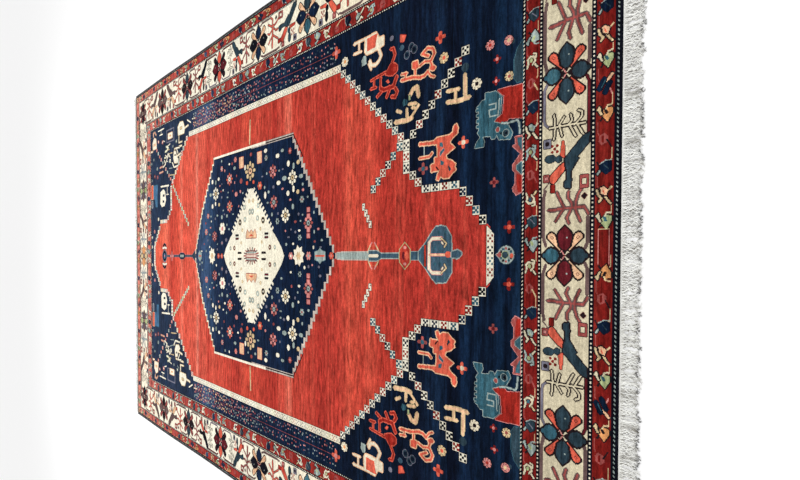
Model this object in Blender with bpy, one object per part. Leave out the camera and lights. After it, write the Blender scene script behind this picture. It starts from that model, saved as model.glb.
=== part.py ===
"""Hand-knotted rug lying flat on the floor.

One sheet of wool pile, an overcast edge cord down each long side, and at each short end a narrow
cotton web whose warp ends hang free as a fringe.

Units are metres. X runs across the rug, Y along it from the near end (-Y) to the far end (+Y), and
Z is up. The origin is on the floor under the middle of the rug.
"""

import math
import random

import bmesh
import bpy

for old in list(bpy.data.objects):
    bpy.data.objects.remove(old, do_unlink=True)

# Overall sizes of the rug
WIDTH = 3.05            # over both edge cords, at the widest place
PILE_LENGTH = 4.27      # knotted length, without the cotton ends
THICKNESS = 0.009       # foundation and pile together
SHOULDER = 0.003        # how far the clipped pile rounds over at the rim
SEAM = 0.0003           # between one piece and the next

# The long sides aren't ruled lines: each draws in a little between the places where it was stretched
SIDE_STATIONS = 36      # cross rows along the length
SIDE_DRAW_IN = 0.005    # how far a side draws in, at most
SIDE_WAVES = 3          # how many times it does so along the length

# Edge cord: a bundle of warps overcast with wool
CORD_DIAMETER = 0.009
CORD_SIDES = 10

# Cotton web woven past the last row of knots, and the free warp ends, in locks
WEB_DEPTH = 0.012
WEB_THICKNESS = 0.0032
LOCKS = 120             # at each end
LOCK_LENGTH = 0.053
LOCK_SWAY = 0.004       # how far a lock wanders sideways
LOCK_SECTIONS = (       # part of the lock's length, width, height, part of the sway
    (0.00, 0.0120, 0.0032, 0.0),
    (0.34, 0.0104, 0.0030, 1.0),
    (0.70, 0.0096, 0.0026, -0.8),
    (1.00, 0.0066, 0.0020, 0.9),
)


def side_at(y):
    """Half the rug's width at y, out to the far side of the edge cord."""
    turn = 2 * math.pi * SIDE_WAVES * y / PILE_LENGTH
    return WIDTH / 2 - SIDE_DRAW_IN * 0.5 * (1 - math.cos(turn))


def pile_side_at(y):
    """Half the width of the knotted sheet at y, inside the edge cord."""
    return side_at(y) - CORD_DIAMETER - SEAM


def cord_stations():
    """Cross rows along the knotted length, near end first."""
    step = PILE_LENGTH / SIDE_STATIONS
    return [-PILE_LENGTH / 2 + step * i for i in range(SIDE_STATIONS + 1)]


def finish(name, bm, colour, roughness, smooth_angle=None):
    """Turns a bmesh into a named object with its own material."""
    bmesh.ops.recalc_face_normals(bm, faces=bm.faces)
    mesh = bpy.data.meshes.new(name)
    bm.to_mesh(mesh)
    bm.free()
    if smooth_angle is not None:
        mesh.shade_smooth()
        mesh.set_sharp_from_angle(angle=math.radians(smooth_angle))
    material = bpy.data.materials.new(name + "_yarn")
    material.use_nodes = True
    shader = material.node_tree.nodes["Principled BSDF"]
    shader.inputs["Base Color"].default_value = (*colour, 1)
    shader.inputs["Roughness"].default_value = roughness
    shader.inputs["Metallic"].default_value = 0.0
    mesh.materials.append(material)
    piece = bpy.data.objects.new(name, mesh)
    bpy.context.scene.collection.objects.link(piece)
    return piece


# Knotted sheet: a grid of cross rows fitted to the drawn-in sides, extruded up to the pile's
# height, with the top rim rounded as clipped pile is
bm = bmesh.new()
bmesh.ops.create_grid(bm, x_segments=1, y_segments=SIDE_STATIONS, size=0.5)
for vert in bm.verts:
    vert.co.y *= PILE_LENGTH
    vert.co.x = math.copysign(pile_side_at(vert.co.y), vert.co.x)
raised = bmesh.ops.extrude_face_region(bm, geom=bm.faces[:])["geom"]
top = [item for item in raised if isinstance(item, bmesh.types.BMVert)]
bmesh.ops.translate(bm, verts=top, vec=(0, 0, THICKNESS))
rim = [
    edge for edge in bm.edges
    if all(vert.co.z > THICKNESS / 2 for vert in edge.verts)
    and any(abs(face.normal.z) < 0.5 for face in edge.link_faces)
]
bmesh.ops.bevel(bm, geom=rim, offset=SHOULDER, segments=2, profile=0.5, affect="EDGES")
finish("pile_sheet", bm, (0.46, 0.045, 0.035), 0.95, smooth_angle=50)


# Edge cords: one ring of points at each cross row, with a flat facet on the floor
def edge_cord(name, side):
    radius = CORD_DIAMETER / 2
    facet = math.pi / CORD_SIDES
    across = radius / math.cos(facet)     # out to the corners, so that the facets touch the circle
    bm = bmesh.new()
    rings = []
    for y in cord_stations():
        centre = side * (side_at(y) - radius)
        ring = []
        for k in range(CORD_SIDES):
            angle = facet + 2 * facet * k - math.pi / 2
            ring.append(bm.verts.new((
                centre + radius * math.cos(angle),
                y,
                radius + across * math.sin(angle),
            )))
        rings.append(ring)
    for here, there in zip(rings, rings[1:]):
        for k in range(CORD_SIDES):
            after = (k + 1) % CORD_SIDES
            bm.faces.new((here[k], here[after], there[after], there[k]))
    bm.faces.new(rings[0])
    bm.faces.new(rings[-1])
    finish(name, bm, (0.035, 0.03, 0.05), 0.9, smooth_angle=50)


edge_cord("edge_cord_left", -1)
edge_cord("edge_cord_right", 1)


# Cotton ends: a narrow web across the rug's width, cut into a cell for each lock and a cell for
# each space between locks; a lock grows from its cell's outer face and lies level on the floor
def cotton_end(name, end, seed):
    sway = random.Random(seed)
    half = pile_side_at(PILE_LENGTH / 2)
    pitch = 2 * half / LOCKS
    root = LOCK_SECTIONS[0][1]
    inner = PILE_LENGTH / 2 + SEAM
    outer = inner + WEB_DEPTH

    cuts = [-half]
    for i in range(LOCKS):
        middle = -half + pitch * (i + 0.5)
        cuts += [middle - root / 2, middle + root / 2]
    cuts.append(half)

    bm = bmesh.new()

    def across(x, y, height):
        return (
            bm.verts.new((x, end * y, 0)),
            bm.verts.new((x, end * y, height)),
        )

    near = [across(x, inner, WEB_THICKNESS) for x in cuts]
    far = [across(x, outer, WEB_THICKNESS) for x in cuts]
    for i in range(len(cuts) - 1):
        a, b, c, d = near[i], near[i + 1], far[i + 1], far[i]
        bm.faces.new((a[0], b[0], c[0], d[0]))
        bm.faces.new((a[1], b[1], c[1], d[1]))
        bm.faces.new((a[0], b[0], b[1], a[1]))
        if i % 2 == 0:
            bm.faces.new((d[0], c[0], c[1], d[1]))      # space between two locks
            continue
        middle = (cuts[i] + cuts[i + 1]) / 2
        reach = LOCK_LENGTH * sway.uniform(0.9, 1.0)
        wander = LOCK_SWAY * sway.uniform(-1, 1)
        section = (d[0], c[0], c[1], d[1])
        for part, width, height, bend in LOCK_SECTIONS[1:]:
            x, y = middle + wander * bend, outer + reach * part
            left, right = across(x - width / 2, y, height), across(x + width / 2, y, height)
            ahead = (left[0], right[0], right[1], left[1])
            for k in range(4):
                m = (k + 1) % 4
                bm.faces.new((section[k], section[m], ahead[m], ahead[k]))
            section = ahead
        bm.faces.new(section)
    for a, d in ((near[0], far[0]), (near[-1], far[-1])):      # the two short ends of the web
        bm.faces.new((a[0], d[0], d[1], a[1]))
    finish(name, bm, (0.78, 0.74, 0.66), 0.9)


cotton_end("cotton_end_near", -1, seed=3)
cotton_end("cotton_end_far", 1, seed=8)
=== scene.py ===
import math
import random

import bpy
import numpy as np
from mathutils import Matrix, Vector


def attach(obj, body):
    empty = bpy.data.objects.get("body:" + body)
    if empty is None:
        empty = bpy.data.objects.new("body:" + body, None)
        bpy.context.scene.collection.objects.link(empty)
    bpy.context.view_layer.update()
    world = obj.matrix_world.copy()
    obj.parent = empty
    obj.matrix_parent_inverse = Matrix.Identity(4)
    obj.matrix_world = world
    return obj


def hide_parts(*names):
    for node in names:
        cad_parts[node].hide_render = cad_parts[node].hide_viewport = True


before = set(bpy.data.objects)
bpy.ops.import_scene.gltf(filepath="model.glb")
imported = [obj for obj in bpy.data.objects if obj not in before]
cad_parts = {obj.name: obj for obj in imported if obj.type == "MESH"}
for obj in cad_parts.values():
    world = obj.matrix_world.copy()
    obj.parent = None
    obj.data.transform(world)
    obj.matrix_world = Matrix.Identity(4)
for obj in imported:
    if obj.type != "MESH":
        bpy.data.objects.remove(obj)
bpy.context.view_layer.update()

# Knot chart. The weaver follows a chart of coloured knots, tied row by row on cotton warps.
# x runs across the rug from its middle line, v along it from the near end of the pile, in
# metres; shapes are drawn in centimetres and land on the nearest knots.
KNOT = 0.0025
PILE_WIDTH = 3.03
PILE_LENGTH = 4.27
COLUMNS = round(PILE_WIDTH / KNOT)
ROWS = round(PILE_LENGTH / KNOT)
DYES = ("night", "navy", "blue", "teal", "mist", "ivory", "straw", "peach", "pink", "coral", "madder",
        "brick", "maroon", "iron", "cotton", "leaf", "ash", "slate", "rose", "amber", "umber", "crimson",
        "chalk")

chart = np.full((ROWS, COLUMNS), DYES.index("night"), np.uint8)
knot_x = (np.arange(COLUMNS) + 0.5) * KNOT - PILE_WIDTH / 2
knot_v = (np.arange(ROWS) + 0.5) * KNOT


def place(x, v, along=(1, 0), up=(0, 1)):
    """Where a shape's centimetres land: its origin, and the way its own two axes run."""
    return np.array([[along[0], up[0], x * 100], [along[1], up[1], v * 100]]) / 100


def spread(where, points):
    points = np.asarray(points, float)
    return points @ where[:, :2].T + where[:, 2]


def window(points, margin):
    """The knots that a shape may reach."""
    low, high = points.min(0) - margin, points.max(0) + margin
    cols = slice(max(0, int((low[0] + PILE_WIDTH / 2) / KNOT)),
                 max(0, int((high[0] + PILE_WIDTH / 2) / KNOT) + 1))
    rows = slice(max(0, int(low[1] / KNOT)), max(0, int(high[1] / KNOT) + 1))
    x, v = np.meshgrid(knot_x[cols], knot_v[rows])
    return rows, cols, x, v


def tie(rows, cols, inside, dye, rim, rim_knots):
    """Ties the knots of a shape, and a rim of another dye round it."""
    if rim:
        grown = inside.copy()
        for _ in range(rim_knots):
            wider = grown.copy()
            wider[1:] |= grown[:-1]
            wider[:-1] |= grown[1:]
            wider[:, 1:] |= grown[:, :-1]
            wider[:, :-1] |= grown[:, 1:]
            grown = wider
        chart[rows, cols][grown & ~inside] = DYES.index(rim)
    if dye:
        chart[rows, cols][inside] = DYES.index(dye)


def fill(where, points, dye, rim=None, rim_knots=1):
    """A shape filled between its corners."""
    corners = spread(where, points)
    rows, cols, x, v = window(corners, 4 * KNOT)
    inside = np.zeros(x.shape, bool)
    for (x0, v0), (x1, v1) in zip(corners, np.roll(corners, -1, 0)):
        if v0 != v1:
            crossed = (v0 > v) != (v1 > v)
            inside ^= crossed & (x < (x1 - x0) * (v - v0) / (v1 - v0) + x0)
    tie(rows, cols, inside, dye, rim, rim_knots)


def line(where, points, width, dye, rim=None, rim_knots=1):
    """A line of even width, in centimetres, through its points."""
    path = spread(where, points)
    reach = width / 2 * math.sqrt(abs(np.linalg.det(where[:, :2])))
    rows, cols, x, v = window(path, reach + 4 * KNOT)
    inside = np.zeros(x.shape, bool)
    for (x0, v0), (x1, v1) in zip(path, path[1:]):
        dx, dv = x1 - x0, v1 - v0
        t = np.clip(((x - x0) * dx + (v - v0) * dv) / max(dx * dx + dv * dv, 1e-9), 0, 1)
        inside |= (x - x0 - t * dx) ** 2 + (v - v0 - t * dv) ** 2 <= reach * reach
    tie(rows, cols, inside, dye, rim, rim_knots)


def oval(where, p, q, rp, rq, dye, rim=None, rim_knots=1):
    turn = [2 * math.pi * k / 20 for k in range(20)]
    ring = [(p + rp * math.cos(t), q + rq * math.sin(t)) for t in turn]
    fill(where, ring, dye, rim, rim_knots)


def box(where, left, low, right, high, dye, rim=None):
    fill(where, [(left, low), (right, low), (right, high), (left, high)], dye, rim)


# Ground bands. Every band runs right round the rug; the ones down the sides are wider, because
# the weaver counts fewer rows than warps. Each row of the table is how far the band's outer
# edge lies from the side, the near end and the far end.
BANDS = (
    ("rim", 0.0, 0.0, 0.0),
    ("outer barber stripe", 0.003, 0.003, 0.004),
    ("outer guard", 0.020, 0.020, 0.022),
    ("outer dotted stripe", 0.072, 0.075, 0.086),
    ("main border", 0.086, 0.090, 0.100),
    ("inner dotted stripe", 0.310, 0.250, 0.278),
    ("inner guard", 0.324, 0.263, 0.293),
    ("inner barber stripe", 0.390, 0.313, 0.368),
    ("field", 0.406, 0.328, 0.386),
)
GROUNDS = {"outer guard": "brick", "main border": "ivory", "inner guard": "brick", "field": "navy"}
across, along = np.meshgrid(np.arange(COLUMNS), np.arange(ROWS))
from_side = np.minimum(across, COLUMNS - 1 - across) * KNOT + KNOT / 2
from_near = along * KNOT + KNOT / 2
from_far = (ROWS - 1 - along) * KNOT + KNOT / 2
band_of = np.zeros(chart.shape, int)
for number, (name, side, near, far) in enumerate(BANDS):
    within = (from_side > side) & (from_near > near) & (from_far > far)
    band_of[within] = number
    chart[within] = DYES.index(GROUNDS.get(name, "night"))
for number, (name, side, near, far) in enumerate(BANDS):
    if "stripe" in name:        # slanting ticks on black, one every 14 mm
        depth = np.minimum(from_side - side, np.minimum(from_near - near, from_far - far))
        ends = np.minimum(from_near - near, from_far - far) < from_side - side
        run, rise = np.where(ends, across, along), np.where(ends, along, across) // 2
        slant = (run - rise if "outer barber" in name else run + rise) * KNOT / 0.0141
        ticks = (band_of == number) & (slant % 1 < 0.40) & (depth > 0.0045) & (depth < 0.0098)
        chart[ticks] = DYES.index("mist" if "outer barber" in name else "chalk")


def band_line(name, side):
    """The middle of a band and half its width, on a named side of the rug, in metres."""
    number = [row[0] for row in BANDS].index(name)
    column = {"side": 1, "near": 2, "far": 3}[side]
    outer, inner = BANDS[number][column], BANDS[number + 1][column]
    return (outer + inner) / 2, (inner - outer) / 2


def band_place(side, name, distance, half_width, stretch=1.0, mirrored=False):
    """A place on a band, its first axis along the band and its second towards the field."""
    middle, half = band_line(name, "side" if side in ("left", "right") else side)
    depth = half / half_width * 100
    run = -stretch if mirrored else stretch
    if side == "near":
        return place(distance, middle, (run, 0), (0, depth))
    if side == "far":
        return place(distance, PILE_LENGTH - middle, (run, 0), (0, -depth))
    if side == "right":
        return place(PILE_WIDTH / 2 - middle, distance, (0, run), (-depth, 0))
    return place(middle - PILE_WIDTH / 2, distance, (0, run), (depth, 0))


# Guard bands. On madder ground a thin creeping line carries buds, hooks and lobed leaves in
# turn, each small enough that the weaver ties it from memory.
def bud(where, dye, light, heart):
    """A pointed bud with a hooked stalk."""
    line(where, [(-1.4, 0.7), (-2.2, 1.3)], 0.7, "iron")
    fill(where, [(-2.9, -0.8), (-1.4, 0.5), (-0.3, 1), (0.9, 0.4), (1.6, -0.8), (1.3, -2.2), (-0.4, -2.2)],
         dye, "iron", 2)
    line(where, [(-0.1, -0.5), (0.9, -0.1)], 0.9, heart)
    line(where, [(1.2, -0.3), (2.2, -0.7), (2.4, -2)], 0.5, light)
    line(where, [(-0.3, 1.1), (0.7, 1.6), (1.9, 1.7), (1.2, 2.2)], 0.6, light, "iron", 2)


def hook(where, dye, light, heart):
    """A leaf between two bent stalks."""
    line(where, [(-0.8, -0.2), (-2.4, -1.2), (-3.2, -1.9)], 0.6, light, "iron", 2)
    line(where, [(1.2, 2.2), (-0.3, 1.8), (-1.6, 0.8), (-2.5, 1.5)], 0.65, light, "iron", 2)
    fill(where, [(-0.7, -0.6), (0, 0.9), (1.8, 1.2), (2.1, 0.2), (1, -1.2)], dye, "iron", 2)
    line(where, [(0, 0), (1, 0.4)], 0.4, heart)
    line(where, [(1.2, -1.5), (1.9, -2.1)], 0.6, light)


def lobe(where, dye, light, heart):
    """A dark rounded leaf edged on one side, with a spur."""
    line(where, [(0.2, 1.6), (1.6, 2.2)], 0.5, "iron")
    line(where, [(-0.9, 1.2), (-2.1, 2)], 0.6, light, "iron", 2)
    fill(where, [(-2.5, -0.3), (-1.4, -2), (1.4, -2), (1.8, -0.6), (0.8, 1.3), (-0.4, 1.5), (-1.5, 0.7)],
         dye, "night")
    line(where, [(1.9, -2.1), (2, -0.4), (1, 1.3)], 0.3, light)
    line(where, [(-0.9, -1.2), (0.6, 0.2)], 0.3, heart)


def pair(where, dye, light, heart):
    """Two slanting leaves side by side on a pale foot."""
    line(where, [(-1.5, -0.6), (-3.3, -2)], 0.8, light, "iron", 2)
    line(where, [(2, 0.1), (-0.7, -1.2)], 1.5, dye, "night")
    line(where, [(0.6, 1.7), (-2.1, 0.4)], 1.5, dye, "night")
    line(where, [(0.4, 1.2), (-1.6, 0.2)], 0.3, heart)
    line(where, [(1.2, -1.4), (2.6, -1.9)], 0.4, "pink")


def curl(where, dye, light, heart):
    """A pale scroll that bends back on itself round a small heart."""
    line(where, [(-1, -0.6), (-2.4, -1.7)], 0.6, light, "iron", 2)
    for edge in ("iron", None):
        line(where, [(-2, 2), (-0.6, 1.5), (0.8, 1.8), (1.7, 0.8), (1.4, -0.5), (0, -1), (-1.2, 0)], 0.65,
             dye, edge)
        line(where, [(0.8, -1.1), (2.2, -1.3), (2.5, -0.4)], 0.6, dye, edge)
    oval(where, 0.3, 0.5, 0.75, 0.6, heart)


def faint(where, dye, light, heart):
    """A leaf in a red hardly paler than the ground."""
    fill(where, [(-1.6, 0.9), (-0.4, 1.9), (1.4, 1.7), (2.2, 0.2), (1, -1), (-0.8, -0.8)], dye)
    line(where, [(-0.6, 0.6), (1.2, 0.6)], 0.6, "brick")
    line(where, [(0, -0.6), (-1.4, -1.4), (-2.4, -1.9)], 0.5, light)


GUARDS = (      # band, half its width in centimetres, how far apart, what stands on it
    ("outer guard", 2.75, 0.0840, ((bud, "leaf", "ivory", "teal"), (hook, "peach", "straw", "coral"),
                                   (lobe, "navy", "mist", "slate"), (faint, "rose", "iron", "brick"),
                                   (bud, "amber", "straw", "iron"), (pair, "navy", "peach", "teal"))),
    ("inner guard", 2.5, 0.0797, ((lobe, "slate", "mist", "ash"), (curl, "ivory", "straw", "teal"),
                                  (faint, "rose", "rose", "brick"), (curl, "mist", "ivory", "leaf"),
                                  (hook, "mist", "ivory", "leaf"), (lobe, "navy", "mist", "slate"),
                                  (faint, "rose", "straw", "brick"), (curl, "ivory", "ivory", "leaf"),
                                  (bud, "mist", "mist", "leaf"))),
)
for name, half_cm, pitch, motifs in GUARDS:
    for side in ("near", "far", "left", "right"):
        sideways = side in ("left", "right")
        run = PILE_LENGTH if sideways else PILE_WIDTH
        inset = band_line(name, "near" if sideways else "side")[0]
        count = round((run - 2 * inset) / pitch)
        start = 5 if name == "outer guard" else 2
        for i in range(count + 1):
            distance = inset + (run - 2 * inset) * i / count - (0 if sideways else run / 2)
            distance -= 0.014 if name == "outer guard" and side == "near" else 0
            if name == "outer guard" and side == "near" and -0.04 < distance < 0.06:
                continue        # the weaver left a plain stretch at the near end's middle
            motif, dye, light, heart = motifs[(i + start) % len(motifs)]
            if i < count:
                level = (-0.8, 0.8)[(i + start) % 2] * half_cm
                ahead = band_place(side, name, distance, half_cm)
                line(ahead, [(1.8, level * 0.8), (2.6, level), (pitch * 100 - 2.6, level)], 0.3,
                     ("straw", "rose")[level > 0])
            motif(band_place(side, name, distance, half_cm, 1, mirrored=(i * 5) % 7 == 1), dye, light,
                  heart)
near_guard = place(0.03, 0.0475)
for q in (-1.7, 1.7):
    line(near_guard, [(-5.6, q), (5.4, q)], 0.3, "pink")
line(near_guard, [(5.4, 1.7), (5.4, -1.7)], 0.3, "straw")


# Main border. Eight-petalled flowers stand in turn with a leafing twig, a forked leaf and a bare
# branch, on ivory, and a fine line runs along both edges from one flower to the next.
BORDER_HALF = 7.9
PETAL = ((1.4, 0), (2, 0.7), (3.1, 1.6), (5.2, 2.1), (7, 2.2), (8.2, 1.6), (9, 0.8), (10, 0))
LOBE = ((1.9, 0), (2.3, 1.2), (3.3, 2.1), (4.6, 2.5), (5.7, 2.2), (6.4, 1.2), (6.6, 0.7), (7.4, 0.6),
        (7.5, 0))
PADDLE = ((2.4, 0.3), (3.8, 0.6), (6, 1), (8, 1.2), (8.8, 0.8), (9.1, 0))


def leaf_shape(where, outline, angle, dye, rim):
    """A petal that points away from the middle of a flower."""
    turn = math.radians(angle)
    c, s = math.cos(turn), math.sin(turn)
    ring = list(outline) + [(p, -q) for p, q in reversed(outline)]
    fill(where, [(p * c - q * s, p * s + q * c) for p, q in ring], dye, rim, 3)


def border_flower(where, long_dye, lobe_dye, slant_dye):
    for angle in (35, 145, 215, 325):
        leaf_shape(where, PADDLE, angle, slant_dye, "iron")
        turn = math.radians(angle)
        oval(where, 7.4 * math.cos(turn), 7.4 * math.sin(turn), 0.35, 0.35, slant_dye, "maroon")
    for angle in (90, 270):
        leaf_shape(where, LOBE, angle, "slate" if angle == 270 and lobe_dye == "teal" else lobe_dye, "iron")
    for angle in (0, 180):
        leaf_shape(where, PETAL, angle, long_dye, "iron")
        oval(where, 6 * (1 if angle == 0 else -1), -0.8, 0.3, 0.3, "mist")
    oval(where, 0, 0, 1.9, 1.6, "iron")
    for p, q, ink in ((1.5, 1, "pink"), (-1.3, -1, "ivory"), (-1.4, 0.9, "pink"), (1.3, -1, "ivory")):
        line(where, [(p * 0.3, q * 0.3), (p, q)], 0.4, ink)
    oval(where, 0, 0, 0.3, 0.3, "brick")


def twig(where, dye, rim, strokes, width):
    """Strokes that share one rim: all the rims are tied first, so that none cuts a stroke in two."""
    for edge in (rim, None):
        for points in strokes:
            line(where, points, width, dye, edge, 2)


LEAFING_TWIG = (     # measured, like all of the stretch, from the middle of the flower before it
    [(43.2, 5.4), (43.4, 2), (43, -6.2)], [(43.6, 3.6), (47.4, 3.9)], [(43.7, 2.2), (46.2, 0.6)],
    [(43.2, -0.6), (44.5, -2.1), (46.6, -1.6)], [(43, -2.8), (45, -5), (46.8, -5.3), (47.4, -4)],
    [(43.2, 3.5), (39.2, 3.9)], [(43.2, 2), (39.9, 1.2)], [(43.2, -1.2), (39.1, -3.2)],
    [(43.1, -3.6), (39.4, -5.6)],
)
BARE_BRANCH = (
    [(15.4, 5.6), (15.8, 0), (15.9, -6.2), (13.6, -7.4)], [(15.2, 5), (15.6, 1)],
    [(15.8, 0.2), (17.8, 1.2), (21.2, 2.8)], [(15.8, -2.4), (17.4, -2.1), (19.3, -0.9), (21.2, -1.1)],
    [(15.8, -3.6), (17.6, -3.4), (20.2, -4.2), (22.4, -5.6)], [(15.6, 0.4), (14.2, 1.4), (11.6, 3.1)],
    [(15.8, -2), (14.2, -1.4), (12.5, -0.6), (10.8, -1.2)], [(15.8, -3.2), (14, -3.8), (11.2, -5)],
)


FIVE_DOTS = ((-1, -1), (1, -1), (0, 0), (-1, 1), (1, 1))


def forked_leaf(where, dye, arm):
    """A long dark leaf laid across the band, its fork, and the small things that fill round it."""
    fill(where, [(39.1, -5.8), (32.3, 0.2), (29.7, 0.2), (28.6, -0.5), (25.2, -0.6), (24.7, 0.2),
                 (22.7, 0.3), (22.3, -1.6), (25, -1.9), (27.6, -1.6), (29.7, -2.9), (31.8, -4.2),
                 (32.3, -3.7), (36.4, -7.4), (39.5, -7.6)], dye, "iron", 2)
    fill(where, [(31, 0.6), (29.7, 2.5), (26.6, 5.3), (25, 5.4), (24.2, 3.8), (28.6, 0.2)], arm, "iron", 2)
    fill(where, [(32.8, 0.3), (32.8, 1.8), (38.2, 1.2), (38.4, 0.4)], arm, "maroon")
    line(where, [(25, 5.2), (22.6, 7.2)], 0.5, "umber")
    for p, q, high, wide, outer, inner in (
            (38, 6.2, 3.1, 2.4, "ash", "iron"), (26.3, 6.4, 2.6, 2, "rose", "pink"),
            (22.7, 4.2, 2.8, 1.7, "brick", None), (24.1, -6, 4.2, 2.8, "rose", "ivory")):
        for share, ink in ((1, outer), (0.4, inner)):
            if ink:
                w, h = high * share / 2, wide * share / 2
                box(where, p - w, q - h, p + w, q + h, ink, "iron")
    oval(where, 32.8, 5.1, 1.3, 1.9, dye, "iron")
    oval(where, 32.3, 2.2, 1.1, 1.1, dye, "iron")
    line(where, [(32.7, 4.6), (32.4, 2.4)], 1.1, dye)
    for a, b in FIVE_DOTS:
        oval(where, 36 + a * 1, 3.6 + b * 0.85, 0.55, 0.5, "brick")
    fill(where, [(18.4, -6.1), (19.4, -5.2), (20.4, -6.1), (19.4, -7)], "iron", "maroon")


EDGE_LINES = (      # dye, rim and points of the fine lines along the border's edges
    ("umber", "umber", ((3.4, 6.4), (6, 7.2), (20, 7.2), (22, 6.8))),
    ("umber", "umber", ((12.6, -7.3), (4.5, -7.3), (2.6, -6.6))),
    ("ash", "umber", ((43, 5), (44.6, 7), (46, 7.2), (56.5, 7.2), (58.5, 6.2))),
    ("maroon", "iron", ((40, -7.3), (56, -7.3), (58, -6.6))),
)


def border_stretch(side, start, end, dark, warm):
    """What stands on the ivory between one flower and the next."""
    length = abs(end - start) * 100
    scale = (length - 20) / (40.5 if length > 50 else 29.5)     # 20: the flowers' own reach
    forward = 1 if end > start else -1
    where = band_place(side, "main border", start + forward * (0.10 - 0.10 * scale), BORDER_HALF, scale,
                       mirrored=end < start)
    roomy = length > 50
    for dye, rim, points in EDGE_LINES if roomy else EDGE_LINES[:2]:
        line(where, points, 0.7, dye, rim)
    bark = "mist" if side == "far" else "rose" if roomy else "coral"
    twig(where, bark, "ash" if side == "far" else "umber", BARE_BRANCH, 0.55)
    forked_leaf(where, dark, warm)
    if roomy:
        twig(where, "ivory", "iron", LEAFING_TWIG, 0.5)


CORNERS = {"near": 0.171, "far": PILE_LENGTH - 0.189, "side": 1.3165}
FLOWERS = {         # place along the border in metres, dyes of the long, the round and the slanting petals
    "near": (
        (-1.3165, "maroon", "navy", "peach"), (-0.605, "slate", "teal", "coral"),
        (0, "maroon", "teal", "peach"), (0.605, "slate", "teal", "coral"),
        (1.3165, "maroon", "navy", "peach"),
    ),
    "far": (
        (-1.3165, "night", "umber", "rose"), (-0.605, "umber", "leaf", "ash"),
        (0, "amber", "straw", "peach"), (0.605, "umber", "leaf", "ash"),
        (1.3165, "night", "umber", "rose"),
    ),
    "side": (
        (0.62, "navy", "teal", "coral"), (1.10, "coral", "maroon", "night"),
        (1.58, "navy", "teal", "peach"), (2.08, "night", "navy", "peach"),
        (2.59, "maroon", "coral", "night"), (3.12, "iron", "slate", "rose"),
        (3.62, "umber", "iron", "rose"),
    ),
}
for side in ("near", "far", "left", "right"):
    flowers = FLOWERS.get(side, FLOWERS["side"])
    spots = [flower[0] for flower in flowers]
    if side in ("left", "right"):
        spots = [CORNERS["near"]] + spots + [CORNERS["far"]]
    for i, (here, there) in enumerate(zip(spots, spots[1:])):
        inward = abs(here) < abs(there) if side in ("near", "far") else i % 2 == 0
        # towards the far end the stretches take paler dyes
        paler_far = side == "far" or max(here, there) > 3.2
        border_stretch(side, *((here, there) if inward else (there, here)),
                       "slate" if side == "near" else "umber" if paler_far else ("slate", "night")[i % 3 == 2],
                       "coral" if side == "near" else "peach" if paler_far else ("coral", "madder")[i % 2])
    for distance, long_dye, lobe_dye, slant_dye in flowers:
        border_flower(band_place(side, "main border", distance, BORDER_HALF), long_dye, lobe_dye, slant_dye)


# Navy field and its red ground. A chain of little chequered blocks parts the navy corners from
# the red, with loose chains across it; the far end is tied in fewer rows than the near one.
def toward(where, side):
    """The same place with its first axis turned towards one side of the rug."""
    turned = where.copy()
    turned[:, 0] *= side
    return turned


def block(where, p, q, ink, wide=3.7, high=3.5):
    """A chequered block: five dark dots on ivory, dark all round."""
    w, h = wide / 2, high / 2
    box(where, p - w, q - h, p + w, q + h, "chalk", "iron")
    apart = min(w, h) * 0.57
    for a, b in FIVE_DOTS:
        c, d, r = p + a * apart, q + b * apart, 0.54
        box(where, c - r, d - r, c + r, d + r, ink)


RED_EDGES = (       # from the middle of the medallion outward: near half, then far half
    ((92.8, 217), (92.8, 131), (91, 128.5), (52.5, 90), (50.4, 88.4), (50.4, 86.8), (36.6, 86.8), (35, 83),
     (31.5, 80), (28.3, 78), (28.3, 59), (25.2, 57.3), (13.7, 48.3), (11, 45)),
    ((92.8, 216), (92.8, 309), (92, 314), (61.5, 341), (60, 344), (38, 344), (36, 347.5), (32, 350.5),
     (29.5, 353.5), (29.5, 367), (24, 370), (11, 379.5), (10, 381)),
)
CHAINS = (      # first block, last block, how many, inks, size across and along
    ((91, 128.5), (52.5, 90), 12, ("navy", "teal", "brick"), 3.7, 3.5),
    ((44.7, 94.5), (31.2, 107.2), 5, ("teal", "navy", "brick", "teal"), 3.5, 3.2),
    ((48.3, 90.6), (48.3, 90.6), 1, ("teal",), 3.7, 3.5),
    ((48.2, 86.8), (38.4, 86.8), 3, ("navy", "brick", "navy"), 4.9, 3.6),
    ((34.8, 83), (31.5, 80), 2, ("iron", "brick"), 3.5, 3.3),
    ((28.3, 75.7), (28.3, 61.4), 4, ("navy", "navy", "brick", "teal"), 3.1, 4.8),
    ((25.2, 57.3), (13.7, 48.3), 4, ("navy", "brick", "teal", "night"), 3.6, 3),
    ((52.5, 82.8), (80, 56.5), 9, ("night", "brick", "night", "night", "brick", "night"), 3.6, 3.3),
    ((92, 313), (61.5, 341), 10, ("pink", "straw", "mist"), 3.6, 2.9),
    ((57, 339.5), (25, 311), 11, ("leaf", "straw", "mist"), 3.1, 2.6),
    ((55.6, 344), (40.4, 344), 4, ("pink", "straw", "mist"), 5.1, 3.2),
    ((36, 347.5), (32, 350.5), 2, ("teal", "pink"), 3.6, 2.8),
    ((29.5, 355.4), (29.5, 365), 3, ("pink", "mist", "straw"), 3.1, 4.8),
    ((24, 369.5), (11, 379.5), 5, ("teal", "straw", "mist"), 3.4, 2.8),
    ((64, 345), (92, 375), 10, ("pink", "brick", "mist"), 2.6, 2.3),
)


def drawn_in(side, point):
    """The weaver ran short of room in the far left corner: its chains cross nearer to the middle."""
    x, v = point
    if side == 1 or v < 300 or x < 37:
        return point
    slope = 8 * (x - 60) / 32 if x > 60 and v < 342 else 1
    return (37 + (x - 37) * 0.543, v - 0.8) if x < 60 else (49.5 + (x - 60) * 1.32, v - slope)


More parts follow.
